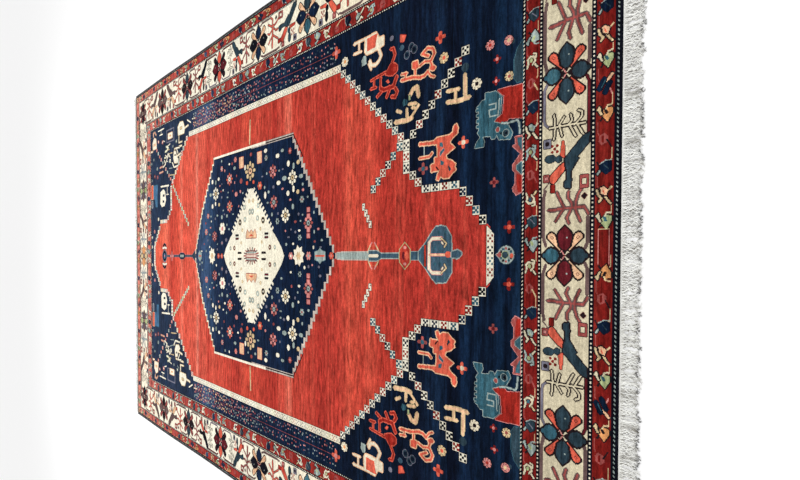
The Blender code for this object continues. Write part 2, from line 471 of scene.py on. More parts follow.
for side in (1, -1):
    where = toward(place(0, 0), side)
    for edge in RED_EDGES:
        ring = [drawn_in(side, point) for point in edge]
        fill(where, [(-0.5, ring[0][1])] + ring + [(-0.5, ring[-1][1])], "madder")
    strip_end = 309 if side == 1 else 303
    box(where, 92.6, 130.5, 96.2, strip_end, "ivory", "iron")
    for i in range(51 if side == 1 else 49):
        ink = ("ash", "mist", "rose", "teal", "leaf")[i * 7 % 5]
        for a, b in FIVE_DOTS:
            oval(where, 94.4 + a, 132.2 + i * 3.5 + b, 0.4, 0.4, ink)
    for start, end, count, inks, wide, high in CHAINS:
        start, end = drawn_in(side, start), drawn_in(side, end)
        for i in range(count):
            t = i / max(count - 1, 1)
            block(where, start[0] + (end[0] - start[0]) * t, start[1] + (end[1] - start[1]) * t,
                  inks[i % len(inks)], wide, high)
    for x, v, ink in ((23.4, 113.6, "teal"), (20.4, 112, "iron"), (17.6, 110.6, "brick"),
                      (14.8, 109.2, "brick")):
        box(where, x - 1.6, v - 0.9, x + 1.6, v + 0.9, "chalk", "iron")
        for a in (-0.8, 0.8):
            oval(where, x + a, v + a * 0.4, 0.4, 0.4, ink)
for v, inward in ((45, 1), (381, -1)):
    where = place(0, v / 100, up=(0, inward))
    fill(where, [(-11.6, 1.6), (-8, -1.6), (8, -1.6), (11.6, 1.6)], "chalk", "iron")
    for x, ink in ((-6.3, "brick"), (-2, "teal"), (2.1, "navy"), (6.5, "brick")):
        for a, b in FIVE_DOTS:
            oval(where, x + a * 1.1, b * 0.85, 0.5, 0.45, ink)


# Small flowers. Most of what fills the navy is one of a few little flowers, a cross or a leaf,
# tied wherever the ground would otherwise stand empty.
def blossom(where, p, q, r, petal, heart, rim="night", petals=8):
    for k in range(petals):
        turn = 2 * math.pi * (k + 0.5 * (petals == 6)) / petals
        oval(where, p + 0.66 * r * math.cos(turn), q + 0.66 * r * math.sin(turn), 0.33 * r, 0.33 * r, petal,
             rim)
    oval(where, p, q, 0.55 * r, 0.55 * r, petal)
    oval(where, p, q, 0.36 * r, 0.36 * r, heart)


def rayed(where, p, q, r, petal, heart, petals=8):
    """A flower whose petals stand apart from its heart, every other one paler."""
    paler = "pink" if petal in ("rose", "coral") else petal
    for k in range(petals):
        c, s = math.cos(2 * math.pi * k / petals), math.sin(2 * math.pi * k / petals)
        reach, dye = ((r * 0.70, petal), (r * 0.64, paler))[k % 2]
        oval(where, p + reach * c, q + reach * s, (0.17 + 0.09 * abs(c)) * r, (0.17 + 0.09 * abs(s)) * r,
             dye, "night")
    oval(where, p, q, 0.32 * r, 0.32 * r, heart)
    oval(where, p, q, 0.12 * r, 0.12 * r, "night")


def cross(where, p, q, r, dye, heart=None):
    line(where, [(p - r, q), (p + r, q)], r * 0.9, dye)
    line(where, [(p, q - r), (p, q + r)], r * 0.9, dye)
    if heart:
        oval(where, p, q, r * 0.55, r * 0.55, heart)


def steps(start, end, count):
    """The corners of a flight of steps from one point to another, across first."""
    points = []
    for i in range(count):
        a, b = i / count, (i + 1) / count
        points += [(start[0] + (end[0] - start[0]) * a, start[1] + (end[1] - start[1]) * a),
                   (start[0] + (end[0] - start[0]) * b, start[1] + (end[1] - start[1]) * a)]
    return points + [end]


def toothed(start, end, count, depth):
    """A straight edge cut into square teeth that stand out to its left."""
    run = np.subtract(end, start) / (2 * count)
    out = np.array([-run[1], run[0]]) / max(np.hypot(*run), 1e-9) * depth
    points = []
    for i in range(count):
        a = np.add(start, run * (2 * i))
        points += [a, a + out, a + run + out, a + run]
    return [tuple(point) for point in points] + [end]


# Hexagonal medallion. Its pale outline climbs in steps; inside, an ivory diamond with combed
# edges stands on navy strewn with flowers, alike to the left and right.
MEDALLION_MIDDLE = 2.17
MEDALLION = {1: (1, 46.2), -1: (-0.985, 52)}     # towards each end: its stretch, its corner
for end, (stretch, corner) in MEDALLION.items():
    if end == 1:
        outlines = ((0, "umber"), (0.25, "cotton"), (2.3, "navy"))
    else:
        outlines = ((0, "straw"), (0.5, "ivory"), (1.5, "night"), (2, "navy"))
    for side in (1, -1):
        where = place(0, MEDALLION_MIDDLE, (side, 0), (0, -stretch))
        for inset, dye in outlines:
            hollow = (40 - inset, 63.6 - inset * 0.8) if end == 1 else (36 - inset, 71.2 - inset * 0.9)
            tip = 84 - inset * 0.7
            flight = steps((70 - inset, corner - inset * 0.4), hollow, 8) + steps(hollow, (1.6, tip), 9)
            fill(where, [(-0.3, -0.3), (70 - inset, -0.3)] + flight + [(-0.3, tip)], dye)
        if end == 1:
            line(where, [(68.6, 17), (68.6, 46), (54.6, 55.2)], 0.7, "night")
        box(where, 68.4, -0.3, 69.9, 17 if end == 1 else corner, "ivory")
        diamond = toothed((41.8, 2.2), (14, 25.2), 11, -2.3) + [(13, 26.8), (5, 34), (-0.4, 37)]
        fill(where, [(-0.4, -0.4), (42.8, -0.4), (42.8, 2.2)] + diamond, "ivory")

STREWN = (      # across, along from the near end, size, dye of the petals and heart, petals
    (0, 157, 2.4, "pink", "mist", 6), (0, 137.6, 2, "coral", "pink", 6),
    (0, 173.6, 2.2, "pink", "ivory", 6), (23.5, 179, 4.6, "ivory", "straw", 8),
    (20.5, 187.2, 1.9, "mist", "night", 6), (18, 157.2, 4.4, "rose", "mist", 8),
    (32, 191, 4.4, "rose", "mist", 8), (50.5, 192, 4.4, "rose", "pink", 8),
    (44.5, 172, 4.6, "ivory", "straw", 8), (43.5, 206.6, 2.7, "coral", "peach", 6),
    (54, 218, 6.6, "straw", "peach", 8), (31.4, 163, 2, "mist", "rose", 6),
    (60, 174.4, 1.9, "rose", "pink", 6), (10.2, 165, 1.7, "mist", "night", 6),
    (59.6, 199.4, 1.8, "mist", "rose", 6), (44, 265, 5, "ivory", "straw", 8),
    (52, 245, 4.5, "coral", "ivory", 8), (33.5, 245, 4.1, "coral", "peach", 8),
    (19, 255.5, 4.4, "ivory", "pink", 6), (14, 267, 4, "rose", "pink", 8),
    (0, 256.4, 1.9, "coral", "pink", 6), (0, 261.2, 1.9, "coral", "pink", 6),
    (17.5, 280, 2.4, "pink", "mist", 6), (64, 237, 2, "pink", "coral", 6),
    (60.5, 256, 1.9, "pink", "mist", 6), (9, 256, 1.6, "ash", "pink", 6), (29, 277, 2, "pink", "mist", 6),
)
LEAVES = (      # across, along, half width, half length, dye
    (64, 200, 1.3, 1.8, "ivory"), (37, 200.5, 2.2, 1.2, "ivory"), (59, 187, 1.3, 1.9, "ivory"),
    (43, 186, 1.3, 2, "ivory"), (45, 180, 1.4, 2.2, "mist"), (53, 176, 1.7, 1.4, "ivory"),
    (51, 171, 1.9, 1.1, "mist"), (52.5, 166.5, 1.3, 1.4, "straw"), (36, 176.4, 1.5, 1.5, "ivory"),
    (38, 171, 1.9, 1.1, "ivory"), (36, 166.8, 1.3, 1.4, "straw"), (44.4, 163.8, 1.2, 1.9, "mist"),
    (28, 171.6, 1.6, 1.2, "mist"), (61.4, 182, 1, 1.5, "mist"), (24.8, 193, 1.2, 0.9, "mist"),
    (64.4, 217, 1.2, 1.4, "rose"), (46.6, 214, 1.2, 1.2, "coral"), (46.8, 222, 1.3, 1.3, "coral"),
    (57, 224.4, 1.8, 1, "ivory"), (49, 229.5, 1.7, 1.7, "rose"), (41, 236, 1.6, 1.8, "pink"),
    (11, 250, 1.2, 1.4, "ash"), (53, 270, 1.6, 1.3, "ivory"), (52, 265, 1.7, 1, "mist"),
    (54, 260.6, 1.2, 1.4, "ivory"), (44, 273, 1.2, 1.7, "mist"), (35.5, 270, 1.6, 1.3, "ivory"),
    (37, 265.4, 1.6, 1, "ivory"), (36, 260, 1.3, 1.3, "straw"), (27, 256, 1.4, 1.2, "mist"),
    (58.6, 238, 1.1, 1.6, "mist"), (27.4, 248.6, 1.2, 1.2, "mist"),
)
sprinkle = random.Random(9)
for side in (1, -1):
    where = toward(place(0, 0), side)
    for p, q, r, petal, heart, petals in STREWN:
        (rayed if petals == 8 else blossom)(where, p, q, r, petal, heart, petals=petals)
    for p, q, rp, rq, dye in LEAVES:
        oval(where, p, q, rp, rq, dye, "night")
    for low, high in ((204.4, 209.4), (226.4, 231.8)):
        box(where, 57.4, low, 64.4, high, "peach", "coral")
    for p in (25.2, 21.8, 14.4, 11):
        box(where, p - 1.3, 155.8, p + 1.3, 158.6, "pink", "brick")
    for _ in range(520):        # wherever the navy is still empty, a small petal
        p, q = sprinkle.uniform(3, 66), sprinkle.uniform(138, 298)
        rows, cols, x, v = window(spread(where, [(p, q)]), 0.021)
        inside_outline = abs(q - 217) < 79 - p * 0.60
        if inside_outline and (chart[rows, cols] == DYES.index("navy")).all():
            oval(where, p, q, sprinkle.uniform(0.5, 1), sprinkle.uniform(0.6, 1.2),
                 sprinkle.choice(("mist", "mist", "ivory", "rose", "pink", "ash")))
where = place(0, 0)
for q, high in ((166.2, 5.6), (271, 5.2)):
    star = [(r * math.cos(a), q + r * high / 6.2 * math.sin(a)) for k in range(16)
            for r, a in (((6.2, 4.4)[k % 2], 2 * math.pi * (k + 0.5) / 16),)]
    fill(where, star, "ivory", "night")
    blossom(where, 0, q, 2.4, "straw", "peach", "ivory", 6)
for q, half in ((147, 4.6), (290.6, 2.6)):
    fill(where, [(-2.2, q - half), (2.2, q - half), (2.9, q - 1.4), (4.4, q), (2.9, q + 1.4),
                 (2.2, q + half), (-2.2, q + half), (-2.9, q + 1.4), (-4.4, q), (-2.9, q - 1.4)],
                 "mist", "teal")
    line(where, [(0, q - half + 1.2), (0, q + half - 1.2)], 1.2, "coral")


# Ivory diamond. A striped flower with rays round it fills the middle of the medallion, between a
# pair of crowns and scattered dots, all of them tied as rows of knots on the ivory ground.
heart = place(0, MEDALLION_MIDDLE)
for k in range(18):
    a = 2 * math.pi * (k + 0.5) / 18
    line(heart, [(3.5 * math.cos(a), 6 * math.sin(a)), (5.3 * math.cos(a), 9 * math.sin(a))], 1,
         ("rose", "umber")[k % 2])
for p, reach, dye in ((-3.2, 5, "maroon"), (-2.2, 6, "mist"), (-1.1, 6.6, "rose"), (0, 7, "pink"),
                      (1.1, 6.6, "rose"), (2.2, 6, "mist"), (3.2, 5, "maroon")):
    line(heart, [(p, -reach), (p, reach)], 0.7, dye)
for side in (1, -1):
    where = toward(heart, side)
    fill(where, [(11.4, -6.2), (13.4, -6.2), (16.8, -4.6), (14.6, -2.4), (16.6, 0), (14.6, 2.4),
                 (16.8, 4.6), (13.4, 6.2), (11.4, 6.2)], "peach", "rose", 2)
    fill(where, [(12.6, -3), (14, 0), (12.6, 3)], "coral")
    for end in (1, -1):
        turned = where.copy()
        turned[:, 1] *= end
        line(turned, [(1.9, 12.8), (1.9, 16.6)], 1.5, "iron")
        line(turned, [(13.6, 16.2), (13.6, 19.4)], 1.2, "iron", "mist")
        line(turned, [(11.4, 16.2), (11.4, 19.4)], 1.2, "maroon", "mist")
        for p, q, r, dye in ((28.2, 1.6, 1.9, "mist"), (31.4, 8.4, 1.7, "mist"), (23.6, 7.6, 1.8, "mist"),
                             (22, 14, 2, "iron"), (35, 2.4, 1.2, "straw"), (5.2, 21.6, 1.5, "maroon"),
                             (5.2, 27, 1.3, "mist"), (16.8, 11, 1, "straw"), (8.6, 12.6, 0.9, "straw")):
            oval(turned, p, q, r, r * 0.9, dye, "straw")
            oval(turned, p, q, r * 0.35, r * 0.35, "ivory")


# Pole and pendants. A pole runs out of each tip of the medallion and carries an eared bar, a
# diamond and, near the panel, a palmette with a double scroll.
pole = place(0, 0)
fill(pole, [(-1.6, 133.2), (-1.8, 110), (1.8, 110), (1.6, 133.2)], "mist", "cotton", 2)
for side in (1, -1):
    where = toward(pole, side)
    line(where, [(1.4, 110.6), (3.2, 110), (5.8, 108.4)], 0.7, "straw")
    line(where, [(1.4, 103), (3.2, 104), (5.8, 106)], 0.7, "straw")
    fill(where, [(2.6, 109.2), (4.4, 108.4), (4.4, 105.8), (2.6, 104.8)], "madder", "coral")
    line(where, [(5.2, 108.8), (6.2, 108)], 0.8, "pink")
    line(where, [(5.2, 105.4), (6.2, 106.2)], 0.8, "pink")
fill(pole, [(-2.2, 110), (-2.2, 104.6), (-0.9, 101.6), (-0.9, 79.5), (0.9, 79.5), (0.9, 101.6),
            (2.2, 104.6), (2.2, 110)], "blue", "mist", 2)
box(pole, -1.8, 79, 1.8, 85, "blue", "mist")
line(pole, [(0, 109.6), (0, 104.2)], 1.3, "ivory")
fill(pole, [(0, 90.6), (3, 90.2), (5.8, 87.4), (3, 84.6), (-3, 84.6), (-5.8, 87.4), (-3, 90.2)], "madder",
     "leaf", 2)
oval(pole, 0, 86.2, 2, 1.3, "coral")
oval(pole, 0, 88.2, 1.9, 0.8, "maroon")
for p in (-3.6, 3.6):
    oval(pole, p, 87.4, 0.7, 0.9, "pink")
fill(pole, [(1.8, 79.6), (4.6, 76.6), (6.2, 75.2), (9.2, 73), (12, 70.4), (12.2, 67.6), (11.6, 65.2),
            (8, 62.8), (2, 62.4), (-2, 62.4), (-6.6, 62.4), (-10.8, 65.2), (-11.2, 70.4), (-9.2, 72.6),
            (-5.4, 75.6), (-1.6, 79.6)], "blue", "mist", 2)
box(pole, -4.4, 75.6, 4.6, 76.6, "madder", "iron")
for side in (1, -1):
    where = toward(pole, side)
    line(where, [(0, 73.8), (5.6, 73.8), (7.2, 72.2), (7.2, 67.6)], 1.2, "ivory", "pink")
    line(where, [(7.2, 67.6), (5, 65), (3.6, 66)], 0.6, "straw", "iron")
    line(where, [(5.6, 67.4), (4.8, 66.8)], 0.7, "ivory", "maroon")
    for p, q in ((3.4, 70.8), (9.6, 68.8), (3, 68.2), (9.4, 65.6)):
        oval(where, p, q, 0.6, 0.5, "teal")
line(pole, [(0.4, 73.4), (0.4, 66)], 0.8, "peach", "pink")
oval(pole, 0.5, 64.2, 1.3, 1.5, "coral")
fill(pole, [(-0.8, 62.4), (-0.8, 60.6), (-1.2, 60.2), (-0.6, 58.8), (0.4, 57.8), (1.4, 57.8),
            (2.4, 59.8), (2, 60.6), (1.6, 62.4)], "blue", "mist", 2)
fill(pole, [(-4, 299), (-0.6, 304), (-0.6, 353), (0.6, 353), (0.6, 304), (4, 299)], "slate", "ash", 2)
fill(pole, [(0, 315.5), (2.4, 320), (2.4, 326), (0, 330.5), (-2.4, 326), (-2.4, 320)], "navy", "ash")
box(pole, -1, 319.5, 1, 326.5, "mist")
line(pole, [(0, 345.5), (0, 340.5)], 2.2, "pink", "slate")
line(pole, [(-3.2, 343), (3.2, 343)], 1.6, "pink", "slate")
oval(pole, 0, 358.6, 5.4, 5, "ash", "slate")
oval(pole, 0, 358.6, 4.4, 4, "night")
oval(pole, 0, 358.6, 2.6, 2, "blue")
oval(pole, 0, 358.6, 1, 0.8, "pink")
for side in (1, -1):
    where = toward(pole, side)
    line(where, [(6.6, 354.8), (7.2, 358.6), (6.6, 362.4)], 1.6, "chalk", "iron")
    line(where, [(8.8, 356), (10, 358.6), (8.8, 361.4)], 1.8, "iron", "ash")
    line(where, [(86, 218), (71.4, 218.6)], 1.3, "straw")


# Beasts of the corners. Goats, birds and camels stand between the chains, each tied from a few
# thick strokes with a paler edge; those of the far corners are tied shorter, mostly in ivory.
def beast(where, dye, edge, strokes, body=()):
    for rim in (edge, None):
        if body:
            fill(where, body, dye, rim, 2)
        for width, points in strokes:
            line(where, points, max(0.6, width - 0.3), dye, rim, 2)


NEAR_BEASTS = (     # dye, edge, strokes as width and points, body as corners; in the near right corner
    ("coral", "peach", ((1.1, ((42.6, 72.6), (41.4, 74), (41.4, 79.2))),), (
        (48, 79.5), (47.4, 72), (48.6, 70), (48.5, 64), (49.5, 62), (51.8, 61.8), (52.2, 60.4),
        (50.8, 59.8), (48.5, 60), (47.4, 62), (46, 63.4), (45.2, 63.6), (43.2, 61.2), (41.8, 63.8),
        (40.8, 65.6), (39.2, 65.2), (38, 62.5), (36.6, 60.8), (35.5, 61.2), (34, 60.6), (33.4, 62),
        (31.6, 63.8), (31.4, 66.5), (32.6, 68.2), (31, 69), (31.4, 70.2), (33.2, 69.8), (35.2, 68.6),
        (34.8, 73), (37.8, 73.2), (38.2, 71.2), (40.4, 71.2), (40.4, 69.8), (46, 69.9), (46.2, 73),
        (46.8, 79.4),
    )),
    ("peach", "straw", (
        (1.2, ((70.6, 56.6), (61.8, 56.4))), (1.3, ((61.8, 64.8), (61.2, 59.5), (61.6, 54.6))),
        (0.9, ((66.2, 64.9), (65.9, 59.4))), (0.6, ((65.8, 61), (62, 61))),
    ), ()),
    ("peach", "straw", (
        (1.6, ((59.5, 93), (59.1, 86.5), (59.6, 83.8))), (0.9, ((60, 84), (64.2, 79.9))),
        (0.8, ((64, 86.5), (60, 86.3))), (1, ((64.4, 92.2), (63.4, 90))),
        (0.9, ((65.8, 85.2), (65.3, 81.2))), (0.8, ((63.9, 83.4), (63.6, 82.2))),
        (1.5, ((69.6, 84.6), (71.6, 83.2), (72.2, 80.8), (68.2, 80))),
    ), ()),
    ("coral", "peach", (
        (1.4, ((77.2, 89.6), (76.8, 83), (75.6, 79), (75.8, 76.8), (77, 75))),
        (1, ((79.8, 89.6), (79.5, 86.6))), (0.6, ((79.4, 87.4), (77.4, 87.2))),
        (0.7, ((80, 81.9), (77.6, 81.9))), (1.1, ((80.6, 79.4), (81.6, 76.6), (81, 73.8), (78.4, 72.6))),
        (2.2, ((78, 73), (77.6, 72))), (1, ((76.4, 74.6), (74.8, 73.4), (74, 71.6))),
        (1.3, ((81.2, 73.2), (83.6, 71.6), (85.8, 72.4), (86.8, 75.2), (85.2, 78), (83.4, 74.8))),
    ), ((83.2, 83.6), (83.2, 80.6), (80.2, 79.8), (79.8, 81.6), (80.6, 83.4))),
    ("crimson", "coral", (
        (0.9, ((83.6, 99), (82.2, 108.8))), (1, ((78.4, 108.8), (78.3, 105.6))),
        (0.6, ((82, 106.8), (78.6, 106.8))), (0.8, ((81.8, 102.4), (77.6, 102.6))),
        (1.1, ((86.6, 95.4), (89.8, 93.6), (92.8, 94.6), (93, 96.2))),
        (1.6, ((77, 102.4), (75.8, 100.4), (76, 97), (75.8, 94.6), (79.6, 92.6))),
        (1.3, ((75.2, 102.2), (73.8, 104.6))), (1.2, ((75, 97), (72.2, 98.6))),
        (1.3, ((74.8, 93.4), (73, 92.2), (71, 93.4), (71.6, 95.6))),
    ), (
        (82.4, 99.2), (84, 98.4), (86.4, 96.2), (86, 93.8), (84.6, 92.2), (82, 92.4), (81, 94.8),
        (81.4, 97),
    )),
    ("ivory", "peach", (
        (1.1, ((103, 120.4), (103.2, 112.5))), (0.9, ((98.2, 120.6), (98, 115.6))),
        (0.7, ((102.4, 117), (98.2, 117))),
        (1.4, ((95.8, 111.2), (96, 104), (92, 102.2), (90, 103.6), (88.8, 106), (89.4, 108.6),
               (91.6, 109.6))),
        (0.8, ((90.6, 110.4), (87.6, 108.8))),
    ), (
        (103.4, 112.8), (103.8, 105.4), (100.6, 103.4), (100.6, 100.6), (96.4, 100.4), (95.6, 104),
        (95.4, 112), (97, 113),
    )),
)
NEAR_HIDES = (      # patches laid over the beasts: dye, edge, corners
    ("teal", None, ((46.4, 68.8), (44.8, 68.8), (44.2, 67), (46.2, 67.2))),
    ("teal", "pink", ((42.6, 68.4), (40.6, 68.6), (42.8, 66.2), (43.8, 66.6))),
    ("teal", None, ((39.2, 68.4), (38.2, 66.4), (36.8, 66.8), (37.2, 68.2))),
    ("slate", None, ((36.6, 64.6), (35, 62.8), (33.8, 63.8), (34.8, 64.2))),
    ("coral", None, ((102.8, 111.6), (103, 104.4), (100, 105.4), (97, 106), (96.8, 111.4))),
    ("madder", None, ((84.6, 94.6), (84.2, 93), (82.4, 93.2), (82.6, 95))),
    ("coral", None, ((79.4, 99.2), (80, 97.8), (78.4, 96.8), (78, 97.8))),
    ("mist", None, ((95.4, 113.8), (95, 112.2), (91, 111.8), (90.6, 115), (93.6, 115.2))),
    ("coral", "brick", ((97.4, 90.4), (94.2, 90.6), (93.6, 88.4), (96.2, 87))),
    ("teal", None, ((68.8, 88.2), (67.4, 89.2), (65.6, 88.6), (65.8, 86.4), (67.8, 86.2))),
    ("leaf", "slate", ((69.4, 85.6), (67.6, 85.6), (67.6, 84.4), (69.4, 84.4))),
)
FAR_BEASTS = (      # the same in the far right corner, where they are tied shorter
    ("ivory", None, (
        (1.7, ((59, 349.5), (59.6, 366))), (1.2, ((51.6, 349.5), (51.8, 353.6))),
        (0.6, ((52, 352.4), (59, 352.4))),
    ), ((42.5, 358), (47.5, 355), (55, 357), (57, 361), (55, 367), (45, 367.5), (42, 364))),
    ("ivory", "straw", ((1.2, ((100.6, 318), (101.6, 310.5))), (1, ((91, 322), (91, 328), (96, 328)))), (
        (97, 318), (101, 317), (106.5, 320), (107, 326), (104, 330), (97, 329.5),
    )),
    ("ivory", "peach", (), ((97.5, 341), (102, 341), (102, 350), (97.5, 350))),
    ("ivory", None, (
        (1.4, ((108.2, 359), (108, 371.5))), (0.8, ((104, 365), (108, 365))),
        (1.1, ((104, 362), (104, 368))),
    ), ()),
    ("ivory", "peach", ((1.2, ((92.6, 384.5), (92.8, 388))),), (
        (94, 375.5), (102.5, 376.5), (104, 381), (100, 384.5), (94, 384),
    )),
    ("pink", "straw", ((1.1, ((106, 376.5), (108.6, 379), (108.4, 383), (105.6, 382.4))),), ()),
    ("ivory", "leaf", (
        (1.5, ((92, 354), (90.4, 349.5), (88.4, 352.5), (88, 356))), (1.4, ((83, 357.5), (83.6, 349.5))),
    ), ()),
    ("ivory", "straw", ((1, ((88, 322.5), (87.4, 337))), (1.2, ((82, 325), (80.6, 333)))), (
        (76, 337), (80, 339), (86, 338), (85, 334), (81, 333), (78, 329), (75.4, 331),
    )),
    ("straw", "pink", ((0.9, ((72, 361), (71.6, 369))), (0.9, ((76.4, 361.5), (76, 368)))), ()),
    ("blue", "teal", (), ((43, 374), (62, 373.5), (62, 382.6), (50, 383), (50, 379), (43, 378))),
    ("coral", "peach", (), ((50.5, 383.5), (62.5, 384), (62.5, 387.8), (50.5, 387.8))),
    ("ash", "mist", (), ((43, 384.6), (48.4, 384.6), (48.4, 387.6), (43, 387.6))),
    ("straw", None, (
        (1.2, ((66.5, 336.5), (67.2, 346.5))), (1, ((88.6, 347.5), (88.8, 352))),
        (1.1, ((85, 341.5), (85.2, 351))),
    ), ()),
    ("ivory", None, (
        (1.2, ((97, 357.5), (98, 361))), (1.1, ((93, 346), (92, 351))), (1, ((79.4, 351), (79, 356))),
    ), ()),
    ("ivory", "iron", (
        (1.5, ((75.6, 361), (77.6, 355.6), (81, 358))), (1.3, ((79, 355), (82.6, 351), (85, 356))),
        (1.4, ((82, 346), (85.6, 350), (82.6, 353))),
    ), ()),
    ("ivory", "iron", (
        (1.7, ((73, 330), (72.6, 338), (76.6, 341))), (1.4, ((83, 330), (87.6, 333), (87, 327))),
    ), ()),
    ("ivory", "iron", ((1.4, ((103, 306), (106, 312))), (1.2, ((104.6, 298), (105, 303)))), ()),
    ("mist", None, (
        (1, ((72.5, 341.5), (73, 348))), (0.9, ((94.5, 331.5), (92.6, 334.5))),
        (1, ((77, 343), (78.6, 349))),
    ), ()),
)
FAR_HIDES = (
    ("navy", None, ((50.4, 358), (52.6, 358), (52.6, 362), (50.4, 362))),
    ("navy", None, ((45.6, 358.8), (47.4, 358.8), (47.4, 362.4), (45.6, 362.4))),
    ("amber", None, ((100.4, 344), (100.4, 347), (99, 347), (99, 344))),
    ("straw", "iron", ((103, 322), (103, 326), (101, 326), (101, 322))),
    ("iron", None, ((83, 334.6), (83, 337), (81.6, 337), (81.6, 334.6))),
    ("peach", None, ((99, 377.5), (99, 382.5), (96.5, 382.5), (96.5, 377.5))),
)
SMALL = (           # across, along, size, petals, heart, how it is tied
    (80.2, 66.8, 2.3, "straw", "coral", blossom), (78.6, 45.6, 1.9, "pink", "madder", blossom),
    (78, 38, 1.8, "pink", "straw", blossom), (65.8, 51.3, 2.3, "ivory", "iron", blossom),
    (65, 37.7, 1.8, "straw", "rose", blossom), (96.6, 127.2, 2.5, "ivory", "amber", blossom),
    (89, 68.6, 1.8, "coral", "madder", cross), (36.8, 77.3, 1.8, "rose", "teal", cross),
    (44.5, 57.2, 1.7, "coral", "ivory", cross), (64.6, 43, 1.1, "brick", "pink", cross),
    (72.6, 42.6, 1.1, "brick", "pink", cross), (27.3, 43.5, 1.3, "rose", "maroon", cross),
    (10.4, 37.2, 1.6, "brick", "coral", cross), (103.2, 133.8, 2.2, "coral", "pink", cross),
    (82, 387, 1.2, "mist", "ash", blossom), (85, 382, 1.4, "mist", "ash", blossom),
    (76, 374, 1.7, "mist", "ash", blossom), (67, 386.5, 1.4, "mist", "ash", blossom),
    (70, 380, 1.7, "rose", "mist", blossom), (68.5, 373.5, 1.9, "rose", "ash", blossom),
    (32, 372, 1.6, "ivory", "straw", blossom), (21.5, 381, 1.7, "pink", "ash", blossom),
    (16.5, 386.5, 1.3, "ivory", "mist", blossom), (8, 386.4, 1.3, "ivory", "mist", blossom),
    (97, 362, 1.8, "pink", "ivory", blossom), (99, 371, 1.6, "pink", "ivory", blossom),
    (90, 340, 1.2, "mist", "ash", blossom), (79, 346, 1.8, "ivory", "mist", blossom),
    (93, 333, 1.5, "mist", "ivory", blossom),
)


def crowded(side, where, points):
    """Where a beast lands: nearer to the middle in the far left corner, if there is less room."""
    p, q = points[0]
    if side == 1 or q < 300:
        return where
    moved = where.copy()
    moved[:, 2] += (0.105 if 40 < p < 62 and q < 369 else 0.03 if p > 62 and q < 372 else 0, -0.012)
    return moved


for side in (1, -1):
    where = toward(place(0, 0), side)
    for p, q in ((90, 84), (88.6, 82.4), (87.4, 86.6)):
        oval(where, p, q, 1.7, 1.5, "slate", "ash")
        oval(where, p, q, 1, 0.9, "navy")
    for p, q, r, dye in ((73.5, 56.5, 1.7, "slate"), (91.5, 89.6, 1.3, "blue"), (97.6, 95.6, 1.2, "ash"),
                         (77.2, 36.4, 1, "slate")):
        oval(where, p, q, r, r, dye)
    line(where, [(95, 338), (105, 338), (105, 353), (95, 353), (95, 338)], 0.8, "ash")
    line(where, [(46.8, 76.7), (41.6, 76.7)], 0.5, "mist")
    for beasts, hides in ((NEAR_BEASTS, NEAR_HIDES), (FAR_BEASTS, FAR_HIDES)):
        for dye, edge, strokes, body in beasts:
            beast(crowded(side, where, body or strokes[0][1]), dye, edge, strokes, body)
        for dye, edge, corners in hides:
            fill(crowded(side, where, corners), corners, dye, edge)
    line(where, [(36.6, 70.4), (35.2, 69.2)], 0.6, "iron")
    for p, q, r, petal, middle, tied in SMALL:
        tied(where, p, q, r, petal, middle)


# Comb-backed beasts. In the strip next to the near border stands a blue beast with a red cloth, a
# red one that the border cuts in two, and between the two sides a wheel of petals.
for side in (1, -1):
    where = toward(place(0, 0), side)
    fill(where, [(61.3, 42.5), (61, 32.6), (49, 32.6), (49.8, 37.5), (49, 38.5), (49, 41), (50.2, 44.6),
                 (51.2, 41.5), (52.2, 40.2), (58.4, 39.6), (59.8, 41.2)], "crimson", "pink")
    comb = toothed((56, 50.4), (47.8, 50.2), 4, -1)
    fill(where, [(61, 43.2), (61.2, 47.5), (58.8, 47.6), (58.6, 49.2), (57.4, 50), (56.6, 51.4)] + comb
         + [(46.8, 50.9), (45.2, 49.6), (43, 51.4), (41.2, 52), (41.2, 48), (43.4, 47.8), (45, 48.6),
            (44.8, 45.2), (43.6, 44.8), (43.6, 43.2), (44.8, 42.6), (42.8, 41.6), (42.3, 37),
            (44.4, 36.2), (47.4, 37.8), (48.6, 41.2), (49.8, 43.8), (51, 42.6), (52.2, 41.2),
            (58.4, 40.6)], "teal", "mist")
    line(where, [(56.4, 45.8), (56.6, 42.9), (54.6, 43), (54.5, 45.9), (51.9, 45.5), (51.9, 42),
                 (57.8, 41.6)], 0.5, "mist")
    fill(where, [(61.8, 32.6), (62, 34.6), (64, 35.9), (70.5, 35.7), (74.3, 34.5), (76.5, 32.6)], "slate",
         "teal")
    line(where, [(48.6, 40.6), (48.2, 38), (48.6, 34.4), (47.4, 33.6), (43.8, 33.4)], 0.7, "mist", "slate")
    oval(where, 44.8, 38.9, 1.3, 1.2, "slate", "mist")
    oval(where, 44.8, 38.7, 0.6, 0.5, "night")
    oval(where, 45, 40.8, 0.5, 0.4, "night")
    oval(where, 46.6, 42.2, 0.9, 0.8, "rose", "mist")
    fill(where, [(42.8, 32.6), (42.8, 35.2), (40, 34.8), (39.6, 36.2), (36.4, 33), (32.8, 36), (31, 36),
                 (29.8, 35), (26, 35), (25, 35.6), (24.4, 36), (23, 35.6), (21.8, 34.6), (22.6, 32.6)],
                 "rose", "pink")
    fill(where, [(42.2, 32.6), (42.2, 34.4), (39.8, 34), (37.4, 32.6)], "teal")
    fill(where, [(33.6, 32.6), (32.4, 34.4), (30.8, 34.4), (29, 32.6)], "teal", "mist")
    fill(where, [(28.6, 32.6), (29.4, 34.4), (25.4, 34.4), (22.8, 34), (22.8, 32.6)], "crimson")
near_strip = place(0, 0)
oval(near_strip, 0.3, 38.4, 3.4, 3.3, "mist", "slate")
fill(near_strip, [(-1.2, 40.6), (0.3, 42.6), (1.8, 40.6)], "rose", "mist")
